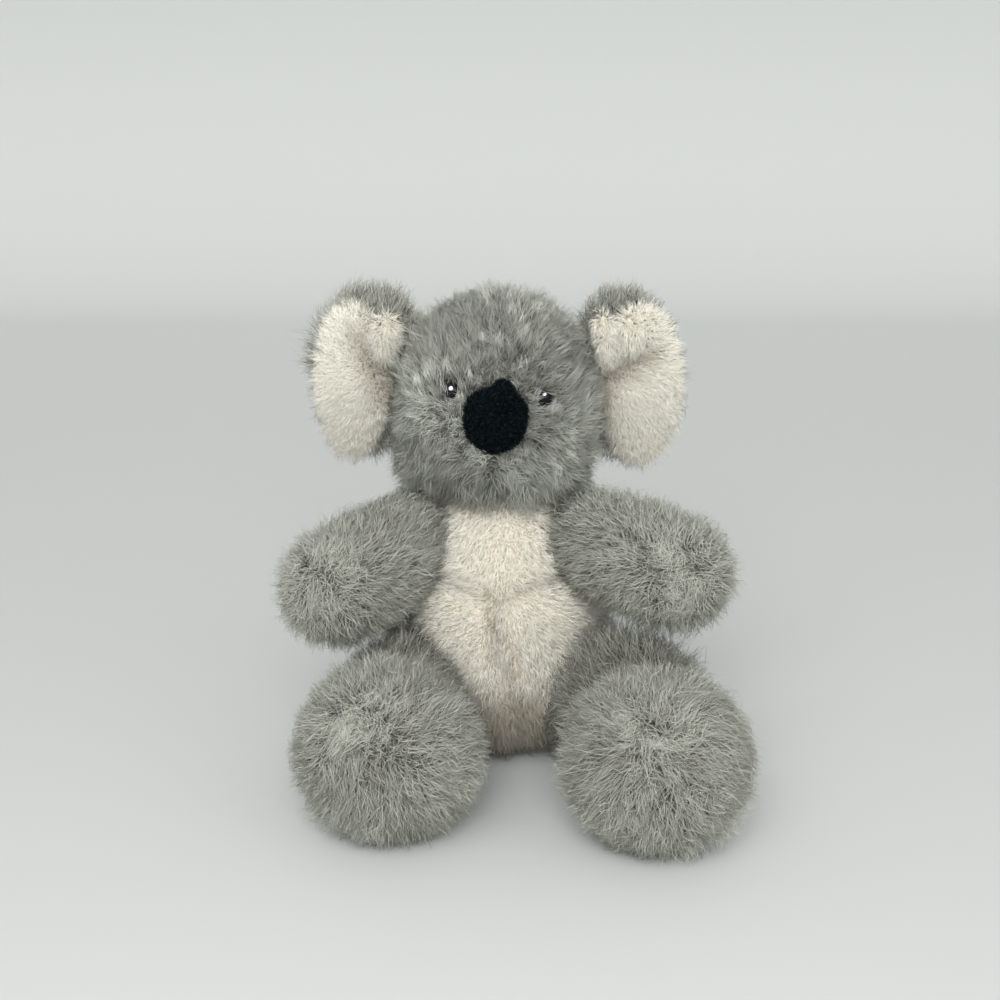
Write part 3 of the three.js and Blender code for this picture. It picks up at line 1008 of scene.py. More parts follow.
def lumpy(skin: Skin, height: float, scale: float, seed: int) -> Skin:
    """The same skin pushed in and out by smooth noise, as loose filling is."""
    push = waves(skin.points, scale, seed)[:, :1] * height
    return skin.moved(skin.points + skin.normals() * push)


def welded(name: str, skins: list[Skin], voxel: float, rounds: int) -> Skin:
    """Joins closed skins that pass into each other into one, and smooths the join.

    Args:
        name: A name for the passing object.
        skins: What is joined.
        voxel: The size of the cells that the join is measured in.
        rounds: How often it is smoothed.

    Returns:
        One closed skin.
    """
    shift = np.cumsum([0] + [len(s.points) for s in skins[:-1]])
    points = np.concatenate([s.points for s in skins])
    faces = np.concatenate([s.faces + k for s, k in zip(skins, shift)])
    passing = mesh_object(name, points, faces)
    remesh = passing.modifiers.new("weld", "REMESH")
    remesh.mode = "VOXEL"
    remesh.voxel_size = voxel
    even_out = passing.modifiers.new("even", "SMOOTH")
    even_out.factor = 0.5
    even_out.iterations = rounds
    triangles = passing.modifiers.new("triangles", "TRIANGULATE")
    triangles.quad_method = "FIXED"
    graph = bpy.context.evaluated_depsgraph_get()
    mesh = passing.evaluated_get(graph).to_mesh()
    points = np.empty(len(mesh.vertices) * 3, np.float32)
    mesh.vertices.foreach_get("co", points)
    faces = np.empty(len(mesh.loops), np.int32)
    mesh.loops.foreach_get("vertex_index", faces)
    made = Skin(points.reshape(-1, 3).astype(float), faces.reshape(-1, 3).astype(int))
    passing.evaluated_get(graph).to_mesh_clear()
    data = passing.data
    bpy.data.objects.remove(passing)
    bpy.data.meshes.remove(data)
    return made


def pressed(skin: Skin, rest: float, reach: float) -> Skin:
    """Lets a skin settle toward the surface that it stands on.

    The lowest points sink to the rest height, and those above follow less and less, by the square
    of what is left of the reach.

    Args:
        skin: The skin.
        rest: How high its lowest point ends.
        reach: How far up it gives way.

    Returns:
        The settled skin.
    """
    low = skin.points[:, 2].min()
    left = np.clip(1 - (skin.points[:, 2] - low) / reach, 0, 1) ** 2
    points = skin.points.copy()
    points[:, 2] -= (low - rest) * left
    return skin.moved(points)


@dataclass(frozen=True)
class Cover:
    """Sizes that every covered part shares."""

    pile: float = 0.007
    gap: float = 0.0012
    rest: float = 0.003
    give: float = 0.016

    @property
    def seam(self) -> float:
        """How far a neighbour's form is grown to find the skin that it hides."""
        return -self.pile - 0.001


COVER = Cover()


@dataclass
class Torso:
    """The body: a seat, a belly with a cream panel, and shoulders."""

    height: float = 0.128
    width: float = 0.092
    depth: float = 0.077
    seat_round: float = 0.032
    neck_round: float = 0.040
    belly_lead: float = 0.005
    width_shares: Shares = (0.96, 1, 0.98, 0.77, 0.64)
    depth_shares: Shares = (0.96, 1, 0.98, 0.84, 0.72)
    flat: float = 0.0005
    neck_rise: float = 0.008
    panel_forward_share: float = 0.13
    panel_height_shares: Shares = (0.06, 0.12, 0.2, 0.3, 0.4, 0.5, 0.6, 0.67, 0.78, 0.905)
    panel_width_shares: Shares = (0.11, 0.17, 0.2, 0.23, 0.29, 0.37, 0.4, 0.34, 0.29, 0.24)
    panel_aside_shares: Shares = (0.08, 0.1, 0.1, 0.09, 0.06, 0.035, 0.02, 0.015, 0.015, 0.005)
    fold_height: float = 0.084
    fold_drop: float = 0.006
    fold_depth: float = 0.0040
    crease_depth: float = 0.0034
    bag_height: float = 0.024
    bag_width: float = 0.062
    body: str = "torso"
    form: SwellForm = field(init=False)
    tall: SwellForm = field(init=False)

    def __post_init__(self) -> None:
        """Sets the body's form, and the same form carried up into the head."""
        base, bend = (0, 0, -self.flat), (0, -2 * self.belly_lead, self.height / 2)
        self.form = SwellForm(
            curve=(base, bend, (0, 0, self.height)),
            toward=(0, 1, 0),
            size=(self.width, self.depth),
            shares=(self.width_shares, self.depth_shares),
            rounds=(self.seat_round, self.neck_round),
        )
        self.tall = replace(self.form, curve=(base, bend, (0, 0, self.height + self.neck_rise)))

    def along_panel(self, shares: Shares, height: Array, below: float | None = None) -> Array:
        """Reads shares of the body's width at each height, on a smooth curve up the cream panel.

        Args:
            shares: One share for each of the panel's heights.
            height: Where to read them.
            below: What is read below the panel: the lowest length, if nothing is given.

        Returns:
            One length for each height.
        """
        fine = np.linspace(0, 1, 200)
        up = share_at(self.panel_height_shares, fine) * self.height
        return np.interp(height, up, share_at(shares, fine) * self.width, left=below)

    def half_panel(self, height: Array) -> Array:
        """Half the cream panel's width at each height."""
        return self.along_panel(self.panel_width_shares, height, 0.0)

    def panel_middle(self, height: Array) -> Array:
        """How far aside the cream panel's middle lies at each height."""
        return self.along_panel(self.panel_aside_shares, height)

    def on_panel(self, points: Array, margin: float) -> Array:
        """Finds the points of the skin that belong to the cream panel.

        Args:
            points: Rows of points.
            margin: How far beyond its outline the panel still counts.

        Returns:
            True for each point on it.
        """
        x, y, z = points.T
        inside = np.abs(x - self.panel_middle(z)) < self.half_panel(z) + margin
        low = self.panel_height_shares[0] * self.height
        return inside & (y < -self.panel_forward_share * self.depth) & (z > low)

    def fold_line(self, x: Array) -> Array:
        """The height of the belly's fold at each place across: it dips in its middle by a bell curve."""
        return self.fold_height - self.fold_drop * bell(x + 0.002, 0.012)

    def folds(self, points: Array) -> Array:
        """Works out how far the belly is drawn in.

        A fold crosses the belly where the body bends as it sits, lower in its middle, and a seam runs
        down from it along the panel's middle. Each is a bell curve of the distance from its line. A
        shallow crease follows the panel's edge.

        Args:
            points: Rows of points.

        Returns:
            One depth for each point.
        """
        x, y, z = points.T
        front = smooth(0.0, 0.02, -y)
        strong = 0.55 + 0.45 * smooth(0.014, 0.030, np.abs(x + 0.002))
        fold = self.fold_depth * strong * bell(z - self.fold_line(x), 0.0040)
        off = x - self.panel_middle(z)
        seam = self.crease_depth * bell(off + 0.003 * smooth(0.02, 0.05, z), 0.0032)
        edge = 0.0022 * bell(np.abs(off) - self.half_panel(z), 0.0035)
        return front * (fold + seam * smooth(0.080, 0.068, z) + edge)

    def seam_line(self, height: Array) -> Array:
        """Where the panel's seam runs, from side to side, at a height: it steps aside halfway down."""
        return -0.0022 + 0.0095 * smooth(0.069, 0.059, height)

    def seam(self, points: Array, wide: float) -> Array:
        """How much of the lower panel's seam lies at points, from none to one, faded over a width."""
        x, _, z = points.T
        return bell(x - self.seam_line(z), wide) * smooth(0.042, 0.050, z) * smooth(0.087, 0.083, z)

    def creases(self, points: Array) -> Array:
        """Works out how deep points lie in the thin creases that the pile shows, as a mask for painted shade.

        Two meet in the fold's middle, where one runs down along the seam and one to the side along
        the fold. A wider notch lies where the fold leaves the panel.

        Args:
            points: Rows of points.

        Returns:
            The sum of the creases' bell curves, each times its strength.
        """
        x, _, z = points.T
        over = z - self.fold_line(x)
        down = bell(x + 0.0028, 0.0010) * smooth(0.050, 0.056, z) * smooth(0.080, 0.076, z)
        aside = bell(over, 0.0011) * smooth(-0.003, 0.001, x) * smooth(0.020, 0.014, x)
        notch = bell(over, 0.0030) * smooth(-0.024, -0.030, x)
        return 1.1 * down + 0.8 * aside + 0.9 * notch

    def skin(self, grow: float) -> Skin:
        """Makes the body's surface with its folds, carried up into the head and settled on the seat.

        Args:
            grow: How far it stands out from the body's form.

        Returns:
            A closed skin.
        """
        made = self.tall.skin(grow, 70, 90)
        drawn = made.points - made.normals() * self.folds(made.points)[:, None]
        return pressed(made.moved(drawn), COVER.rest, COVER.give)

    def panel_skins(self) -> tuple[Skin, Skin]:
        """The cream panel: a thin closed pad just over the body's skin, tucked in along its edge.

        Across, s runs from edge to edge and the pad stands off the skin by (1 - s^2) to the power
        0.3 times its thickness. Its back lies under the body's skin.

        Returns:
            The closed pad, and its front alone.
        """
        rows, columns = 96, 49
        low, high = self.panel_height_shares[0] * self.height, self.height - COVER.pile
        up = np.linspace(low, high, rows)
        s = np.sin(np.linspace(-1, 1, columns) * math.pi / 2)
        z = np.repeat(up[:, None], columns, axis=1)
        aside = self.panel_middle(z)
        x = aside + self.half_panel(z) * s[None]
        spots, _, _, a, b = self.tall.sections(np.linspace(0, 1, 400), -COVER.pile)
        order = np.argsort(spots[:, 2])
        half, deep, lead = (np.interp(z, spots[order, 2], v[order]) for v in (a, b, spots[:, 1]))
        y = lead - deep * np.sqrt(np.clip(1 - (x / np.maximum(half, TINY)) ** 2, 0, 1))
        flat = np.stack([x, y, z], axis=-1).reshape(-1, 3)
        drawn = self.folds(flat).reshape(rows, columns)
        ends = np.clip(np.minimum(z - low, high - z) / 0.006, 0, 1)
        proud = 0.0013 * (np.clip(1 - s[None] ** 2, 0, 1) ** 0.3) * ends**0.4
        front = np.stack([x, y + drawn - proud - 0.0004, z], axis=-1)
        back = np.stack([aside + (x - aside) * 0.985, y + drawn + 0.0016, z], axis=-1)
        points = np.concatenate([front.reshape(-1, 3), back.reshape(-1, 3)])
        grid = np.arange(rows * columns).reshape(rows, columns)
        sheet = quad_faces(grid[:-1, :-1], grid[:-1, 1:], grid[1:, 1:], grid[1:, :-1])
        rim = np.concatenate([grid[0, :-1], grid[:-1, -1], grid[-1, :0:-1], grid[:0:-1, 0]])
        after = np.roll(rim, -1)
        size = rows * columns
        edge = quad_faces(rim, rim + size, after + size, after)
        whole = Skin(points, np.concatenate([sheet, sheet[:, ::-1] + size, edge]))
        return whole, Skin(points, sheet, whole.normals())

    def grey_lie(self, points: Array) -> Array:
        """The grey pile lies down, a little aside, and away from the body's middle."""
        aside, ahead = 0.25 * np.sign(points[:, 0]), 0.35 * np.sign(points[:, 1] + 0.01)
        return np.stack([aside, ahead, np.full(len(points), -0.75)], axis=1)

    def grey_length(self, points: Array) -> Array:
        """The grey pile is longer on the hips."""
        hip = 0.45 * smooth(0.026, 0.038, np.abs(points[:, 0]))
        return 1 + hip * smooth(0.095, 0.078, points[:, 2]) * smooth(0.02, 0.035, points[:, 2])

    def cream_lie(self, points: Array) -> Array:
        """Combs the cream pile.

        Under the fold it lies away from the fold's middle and opens to both sides of the seam. Above
        the fold it lies down and a little aside.

        Args:
            points: Rows of points.

        Returns:
            One direction for each point.
        """
        x, _, z = points.T
        line, nothing = self.fold_line(x), np.zeros(len(points))
        upper = smooth(0.0, 0.012, z - line)[:, None]
        low = unit(points - np.stack([self.panel_middle(z), nothing - 0.03, line + 0.004], axis=1)) * 0.9
        low[:, 0] += 0.9 * np.sign(x - self.seam_line(z)) * self.seam(points, 0.0026)
        high = np.stack([0.45 * x / 0.02, nothing, nothing - 0.75], axis=1)
        return low * (1 - upper) + high * upper

    def cream_length(self, points: Array) -> Array:
        """Works out the cream pile's length.

        It is shorter at the fold and the seam, and longer low down and at the lower left edge.

        Args:
            points: Rows of points.

        Returns:
            One share for each point.
        """
        x, _, z = points.T
        near_fold = bell(z - self.fold_line(x), 0.004)
        share = (x - self.panel_middle(z)) / np.maximum(self.half_panel(z), 0.001)
        edge = smooth(0.45, 0.9, share) * smooth(0.080, 0.068, z) * smooth(0.030, 0.040, z)
        low = 1 - 0.20 * near_fold + 0.25 * smooth(0.03, 0.012, z)
        return low * (1 - 0.35 * self.seam(points, 0.0012)) * (1 + 0.65 * edge)

    def cream_tint(self, points: Array) -> Array:
        """Works out the cream pile's tint.

        It is darker in the folds, creases and seam, on the lower edges and under the chin, as painted shade.
        Low down it is darker too, as painted shade between the feet and as the grey below the panel.

        Args:
            points: Rows of points.

        Returns:
            One tint for each point.
        """
        x, _, z = points.T
        low = smooth(0.048, 0.028, z)
        edge = smooth(0.45, 1.0, np.abs(x - self.panel_middle(z)) / np.maximum(self.half_panel(z), 0.001))
        drawn = self.folds(points) / self.fold_depth + self.creases(points) + 1.6 * self.seam(points, 0.0011)
        # All but the base tone is painted shade; the low darkening also stands for the grey below the panel.
        tint = 0.17 - 0.32 * drawn - 0.66 * low - 0.16 * edge * smooth(0.085, 0.06, z)
        return tint - 0.2 * smooth(0.104, 0.116, z)

    def build(self, others: list["Limb"], head: SwellForm) -> None:
        """Makes the body's skin, panel, pile, filling and pellet bag.

        Args:
            others: The limbs, which hide some of the skin.
            head: The head's form, which hides the neck.
        """
        skin = self.skin(-COVER.pile)
        cover(skin, "body_skin", GREY_CLOTH, self.body, "body_cover")
        panel, front = self.panel_skins()
        cover(panel, "belly_skin", CREAM_CLOTH, self.body, "belly_panel")
        covers = [(form, COVER.seam) for form in [*(f for limb in others for f in limb.forms), head]]
        where = PileField(
            lie=self.grey_lie,
            grows=lambda points: uncovered(points, covers) & ~self.on_panel(points, -0.0005),
            length=self.grey_length,
            # Painted shade: the grey pile is darker toward the front, on the body's sides.
            tint=lambda points: -0.60 * smooth(0.03, -0.02, points[:, 1]),
        )
        coat = grow_pile("body_fur", skin, BODY_COAT, where, count=24000, seed=101)
        dress(coat, GREY_PILE, self.body)
        where = PileField(
            lie=self.cream_lie,
            grows=lambda points: uncovered(points, covers),
            length=self.cream_length,
            tint=self.cream_tint,
        )
        coat = grow_pile("belly_fur", front, BELLY_COAT, where, count=28500, seed=102)
        dress(coat, CREAM_PILE, self.body)
        fill = lumpy(self.skin(-COVER.pile - COVER.gap - 0.002), 0.0005, 0.012, 21)
        dress(fill.build("body_filling"), FIBRE, self.body, "body_stuffing")
        low, half = COVER.pile, self.bag_height / 2
        bag = SwellForm(
            curve=((0, 0, low + 0.001), (0, 0, low + half), (0, 0, low + self.bag_height)),
            toward=(0, 1, 0),
            size=(self.bag_width * 0.86, self.bag_width * self.depth / self.width * 0.86),
            shares=(EVEN, EVEN),
            rounds=(half, half),
        )
        sack = lumpy(bag.skin(-0.001, 24, 40), 0.0006, 0.006, 22)
        dress(sack.build("pellet_bag"), LINEN, self.body, "seat_pellet_bag")


class Coat(Enum):
    """The coats in which a limb's pile is grown, by the words in their pieces' names."""

    WHOLE = "fur"
    FOOT = "foot_fur"
    THIGH = "thigh_fur"


@dataclass(kw_only=True)
class Limb:
    """A stuffed limb: its joined forms, how many strands each coat has, and how its pile lies."""

    name: str
    forms: list[SwellForm]
    roots: SwellForm
    beside: SwellForm
    whorl: Array
    coats: dict[Coat, int]
    seed: int
    tone: float
    shade: float
    press: float
    hip: float = 0.0
    inner_shade: float = 0.0

    def near(self, points: Array) -> Array:
        """How close each point lies to the body, from none to one: the share of four growing forms
        of the body that hold it."""
        return np.mean([self.beside.holds(points, grow) for grow in (-0.003, 0.001, 0.006, 0.011)], axis=0)

    def length(self, points: Array) -> Array:
        """Works out the pile's length.

        It is short in front where the limb lies against the body, and long on the hip's top.

        Args:
            points: Rows of points.

        Returns:
            One share for each point.
        """
        _, y, z = points.T
        pressed_down = self.press * self.near(points) * smooth(-0.008, -0.022, y)
        hip = self.hip * smooth(0.036, 0.050, z) * smooth(-0.070, -0.045, y)
        return (1 - pressed_down) * (1 + hip)

    def tint(self, points: Array) -> Array:
        """Works out the pile's tint.

        It is darker toward the body, and farther back by its inner shade, as painted shade, and lighter at
        its whorl, as painted light that lifts the shade of its open gaps.

        Args:
            points: Rows of points.

        Returns:
            One tint for each point.
        """
        far = np.linalg.norm(points - self.whorl, axis=1)
        inner = self.inner_shade * smooth(-0.085, -0.055, points[:, 1])
        # The mottle here also carries the painted shade farther back.
        mottle = 0.14 * waves(points, 0.0045, 19)[:, 0] - inner
        return self.tone - self.shade * self.near(points) + 0.30 * bell(far, 0.008) + mottle

    def skin(self, grow: float) -> Skin:
        """The limb's forms as one closed skin, with its root carried on into the body."""
        skins = [form.skin(grow, 40, 48) for form in (self.roots, *self.forms[1:])]
        return skins[0] if len(skins) == 1 else welded(self.name, skins, 0.0022, 6)

    def lie(self, points: Array) -> Array:
        """Combs the pile away from the whorl, upright at it and more and more combed farther out.

        Args:
            points: Rows of points.

        Returns:
            One direction for each point.
        """
        away = points - self.whorl
        far = np.linalg.norm(away, axis=1, keepdims=True)
        turned = waves(points, 0.0016, 17) * smooth(0.018, 0.004, far) * 1.4
        fallen = np.array([0.0, 0.0, -0.75]) * smooth(0.013, 0.004, far)
        return unit(away) * (0.35 + 0.65 * smooth(0.002, 0.022, far)) + turned + fallen

    def grows(self, points: Array, covers: list[tuple[SwellForm, float]], settle: bool) -> Array:
        """Works out how densely the pile grows: less under the limb, and more in the whorl's heart.

        Args:
            points: Rows of points.
            covers: Forms that hide part of the skin, each with how far it is grown.
            settle: Whether the limb lies on the surface.

        Returns:
            One density for each point, none where it is hidden.
        """
        under = smooth(0.0032, 0.009, points[:, 2]) if settle else 1.0
        open_heart = bell(np.linalg.norm(points - self.whorl, axis=1), 0.009)
        return uncovered(points, covers) * (0.25 + 0.75 * under) * (1 + 1.1 * open_heart)

    def in_coat(self, points: Array, coat: Coat) -> Array:
        """Finds the points that belong to a coat: the foot's lies on the last form's front.

        Args:
            points: Rows of points.
            coat: Which coat.

        Returns:
            True for each point in it.
        """
        if coat is Coat.WHOLE:
            return np.ones(len(points), bool)
        middle, radius = np.array(self.forms[-1].curve[1]), self.forms[-1].size[0] / 2
        near = np.linalg.norm(points - middle, axis=1) < radius - COVER.pile + 0.001
        near = near & (points[:, 1] < middle[1] + 0.010)
        return near if coat is Coat.FOOT else ~near

    def build(self, covers: list[tuple[SwellForm, float]], settle: bool) -> None:
        """Makes the limb's skin, pile and filling.

        Args:
            covers: Forms that hide part of the skin, each with how far it is grown.
            settle: Whether the limb lies on the surface.
        """
        skin = self.skin(-COVER.pile)
        if settle:
            skin = pressed(skin, COVER.rest, COVER.give)
        cover(skin, f"{self.name}_skin", GREY_CLOTH, self.name, f"{self.name}_cover")
        for k, (coat, count) in enumerate(self.coats.items()):
            where = PileField(
                lie=self.lie,
                grows=lambda spots, coat=coat: self.grows(spots, covers, settle) * self.in_coat(spots, coat),
                length=self.length,
                tint=self.tint,
            )
            made = grow_pile(f"{self.name}_{coat.value}", skin, BODY_COAT, where, count, self.seed + k)
            dress(made, GREY_PILE, self.name)
        fill = self.skin(-COVER.pile - COVER.gap - 0.0008)
        if settle:
            fill = pressed(fill, COVER.rest + COVER.gap, COVER.give)
        fill = lumpy(fill, 0.0004, 0.012, self.seed + 7)
        dress(fill.build(f"{self.name}_filling"), FIBRE, self.name, f"{self.name}_stuffing")


@dataclass
class Arms:
    """Both arms: fat sleeves held out, forward and a little down from the shoulder seams."""

    radius: float = 0.0235
    reach: Pair = (0.055, 0.051)
    root_inside: float = 0.016
    deeper: float = 0.012
    shares: Shares = (0.86, 0.95, 1.03, 1.03, 1)
    arch: float = 0.005
    height_share: float = 0.75
    out_share: float = 0.65
    lead_share: float = 0.2
    forward: Pair = (39.0, 44.0)
    drop: Pair = (6.5, 14.0)
    whorls: tuple[Vec, Vec] = ((-0.03, -0.96, 0.27), (-0.20, -0.82, 0.55))
    seeds: tuple[int, int] = (201, 221)
    strands: int = 19500

    def limb(self, side: Side, torso: Torso) -> Limb:
        """Shapes one arm: a sleeve whose middle is arched, and whose end is the paw.

        Args:
            side: Which arm.
            torso: The body that it is sewn on.

        Returns:
            The arm.
        """
        out = side.value * self.out_share * torso.width / 2
        pivot = np.array([out, -self.lead_share * torso.depth / 2, self.height_share * torso.height])
        forward, drop = math.radians(side.pick(self.forward)), math.radians(side.pick(self.drop))
        level_way = np.array([side.value * math.cos(forward), -math.sin(forward), 0.0])
        along = level_way * math.cos(drop) + np.array([0, 0, -math.sin(drop)])
        start = pivot - along * self.root_inside
        end = pivot + along * (side.pick(self.reach) + self.radius)
        bend = (start + end) / 2 + np.array([0, 0, self.arch])
        form = SwellForm(
            curve=(start, bend, end),
            toward=(0, 0, 1),
            size=(2 * self.radius, 2 * self.radius),
            shares=(self.shares, self.shares),
            rounds=(self.root_inside, self.radius),
        )
        paw = pivot + along * side.pick(self.reach)
        return Limb(
            name=f"{side.label}_arm",
            forms=[form],
            roots=replace(form, curve=(start - along * self.deeper, bend, end)),
            beside=torso.form,
            whorl=paw + unit(np.array(side.pick(self.whorls))) * (self.radius - COVER.pile),
            coats={Coat.WHOLE: self.strands},
            seed=side.pick(self.seeds),
            tone=0.22,
            shade=1.1,
            press=0.4,
        )


@dataclass
class Legs:
    """Both legs: thighs that lie on the surface and run into round feet."""

    foot: float = 0.0365
    foot_height_share: float = 0.96
    thigh_width: float = 0.054
    thigh_height: float = 0.063
    shares: Shares = (0.9, 1, 1, 0.95, 0.95)
    root_inside: float = 0.014
    deeper: float = 0.014
    reach: Pair = (0.0915, 0.079)
    out_share: float = 0.82
    lead_share: float = 0.2
    splay: Pair = (14.4, 3.3)
    bow: Pair = (0.034, 0.014)
    rise: float = 38.0
    flat: float = 0.0005
    whorls: tuple[Vec, Vec] = ((-0.20, -0.76, 0.62), (-0.32, -0.73, 0.66))
    hips: Pair = (0.55, 0.2)
    seeds: tuple[int, int] = (301, 321)
    foot_strands: int = 21333
    thigh_strands: int = 10666

    def limb(self, side: Side, torso: Torso) -> Limb:
        """Shapes one leg: a thigh that bows outward, and a ball for the foot.

        Args:
            side: Which leg.
            torso: The body that it is sewn on.

        Returns:
            The leg.
        """
        splay, rise = math.radians(side.pick(self.splay)), math.radians(self.rise)
        out = side.value * self.out_share * torso.width / 2
        pivot = np.array([out, -self.lead_share * torso.depth / 2, self.thigh_height / 2])
        ahead = np.array([side.value * math.sin(splay), -math.cos(splay), 0.0])
        outward = np.array([side.value * math.cos(splay), math.sin(splay), 0.0])
        sole = ahead * math.cos(rise) + np.array([0, 0, math.sin(rise)])
        middle = pivot + ahead * side.pick(self.reach)
        middle[2] = self.foot * self.foot_height_share - self.flat
        start = pivot - ahead * self.root_inside / 2 - outward * self.root_inside
        bend = (pivot + middle) / 2 + outward * side.pick(self.bow)
        end = middle.copy()
        for point in (start, bend, end):
            point[2] = self.thigh_height / 2 - self.flat
        thigh = SwellForm(
            curve=(start, bend, end),
            toward=(0, 0, 1),
            size=(self.thigh_width, self.thigh_height),
            shares=(self.shares, self.shares),
            rounds=(self.root_inside, self.thigh_width / 2),
        )
        return Limb(
            name=f"{side.label}_leg",
            forms=[thigh, ball_form(middle, sole, self.foot, self.foot_height_share)],
            roots=replace(thigh, curve=(start - outward * self.deeper, bend, end)),
            beside=torso.form,
            whorl=middle + unit(np.array(side.pick(self.whorls))) * (self.foot - COVER.pile),
            coats={Coat.FOOT: self.foot_strands, Coat.THIGH: self.thigh_strands},
            seed=side.pick(self.seeds),
            tone=0.06,
            shade=0.7,
            press=0.85,
            hip=side.pick(self.hips),
            inner_shade=0.32,
        )


@dataclass
class Eye:
    """A glossy dome on a shank, locked by a washer inside the cover."""

    radius: float = 0.0034
    dome_share: float = 0.7
    lip: float = 0.0004
    sunk: float = 0.0002
    shank: float = 0.0013
    washer: float = 0.0046
    washer_thick: float = 0.0012
    washer_depth: float = 0.0026
    washer_bevel: float = 0.0002
    shank_past: float = 0.0014
    sides: int = 48

    def turned(self, radii: Array, heights: Array, spot: Array, facing: Array, closed: bool) -> Skin:
        """A turned solid on an axis: each ring has its radius and height along the facing direction.

        Args:
            radii: The rings' radii; zero at the poles, or a loop for a washer.
            heights: Their heights.
            spot: Where height zero lies.
            facing: The axis.
            closed: Whether the profile is a loop that closes on itself.

        Returns:
            A closed skin.
        """
        across = unit(np.cross(np.array([0.0, 0.0, 1.0]), facing))
        other = np.cross(facing, across)
        turn = 2 * np.pi * np.arange(self.sides) / self.sides
        rim = across * np.cos(turn)[:, None] + other * np.sin(turn)[:, None]
        rings = spot + facing * heights[:, None, None] + rim * radii[:, None, None]
        if closed:
            grid = np.arange(len(radii) * self.sides).reshape(len(radii), self.sides)
            up, on = np.roll(grid, -1, axis=0), np.roll(grid, -1, axis=1)
            return Skin(rings.reshape(-1, 3), quad_faces(grid, on, np.roll(up, -1, axis=1), up))
        points = np.concatenate([rings[0, :1], rings[1:-1].reshape(-1, 3), rings[-1, :1]])
        return Skin(points, ring_faces(len(radii) - 2, self.sides))

    def build(self, name: str, point: Array, facing: Array, body: str) -> None:
        """Makes the eye and its washer.

        Args:
            name: left or right.
            point: The place on the surface.
            facing: The way that the surface faces there.
            body: What carries them.
        """
        dome = self.radius * self.dome_share
        end = -(COVER.pile - self.sunk - dome + self.washer_depth + self.washer_thick + self.shank_past)
        seat = point - facing * (self.sunk + dome)
        arc = np.linspace(0, math.pi / 2, 15)
        stem = [0, self.shank * 0.8, self.shank, self.shank, self.radius - self.lip]
        radii = np.concatenate([stem, self.radius * np.cos(arc)])
        heights = np.concatenate([[end, end, end + self.lip, -self.lip, -self.lip], dome * np.sin(arc)])
        radii[-1] = 0
        ball = self.turned(radii, heights, seat, facing, False).build(f"{name}_eye_dome")
        dress(ball, EYE_GLOSS, body, f"{name}_eye")
        half, bevel = self.washer_thick / 2, self.washer_bevel
        bore, wide = self.shank + 0.0001, self.washer
        radii = np.array([bore, wide - bevel, wide, wide, wide - bevel, bore])
        heights = np.array([-half, -half, bevel - half, half - bevel, half, half])
        spot = point - facing * (COVER.pile + self.washer_depth + half)
        ring = self.turned(radii, heights, spot, facing, True).build(f"{name}_eye_lock")
        dress(ring, WASHER_WHITE, body, f"{name}_eye_washer")


@dataclass
class Nose:
    """The black padded nose."""

    width: float = 0.027
    height: float = 0.0285
    proud: float = 0.0055
    backing: float = 0.0015
    drop: float = 0.0043
    aside: float = -0.0006
    shares: Shares = (0.76, 0.92, 1, 1, 0.92)
    depth_shares: Shares = (0.8, 0.95, 1, 0.95, 0.8)
    chin_round: float = 0.0095
    brow_round: float = 0.0095
    peak: float = 0.0040
    nap: float = 0.0014

    def form(self) -> SwellForm:
        """The nose's form about its own middle."""
        return SwellForm(
            curve=((0, 0, -self.height / 2), (0, 0, 0), (0, 0, self.height / 2)),
            toward=(0, 1, 0),
            size=(self.width, self.proud + COVER.pile - self.backing),
            shares=(self.shares, self.depth_shares),
            rounds=(self.chin_round, self.brow_round),
        )


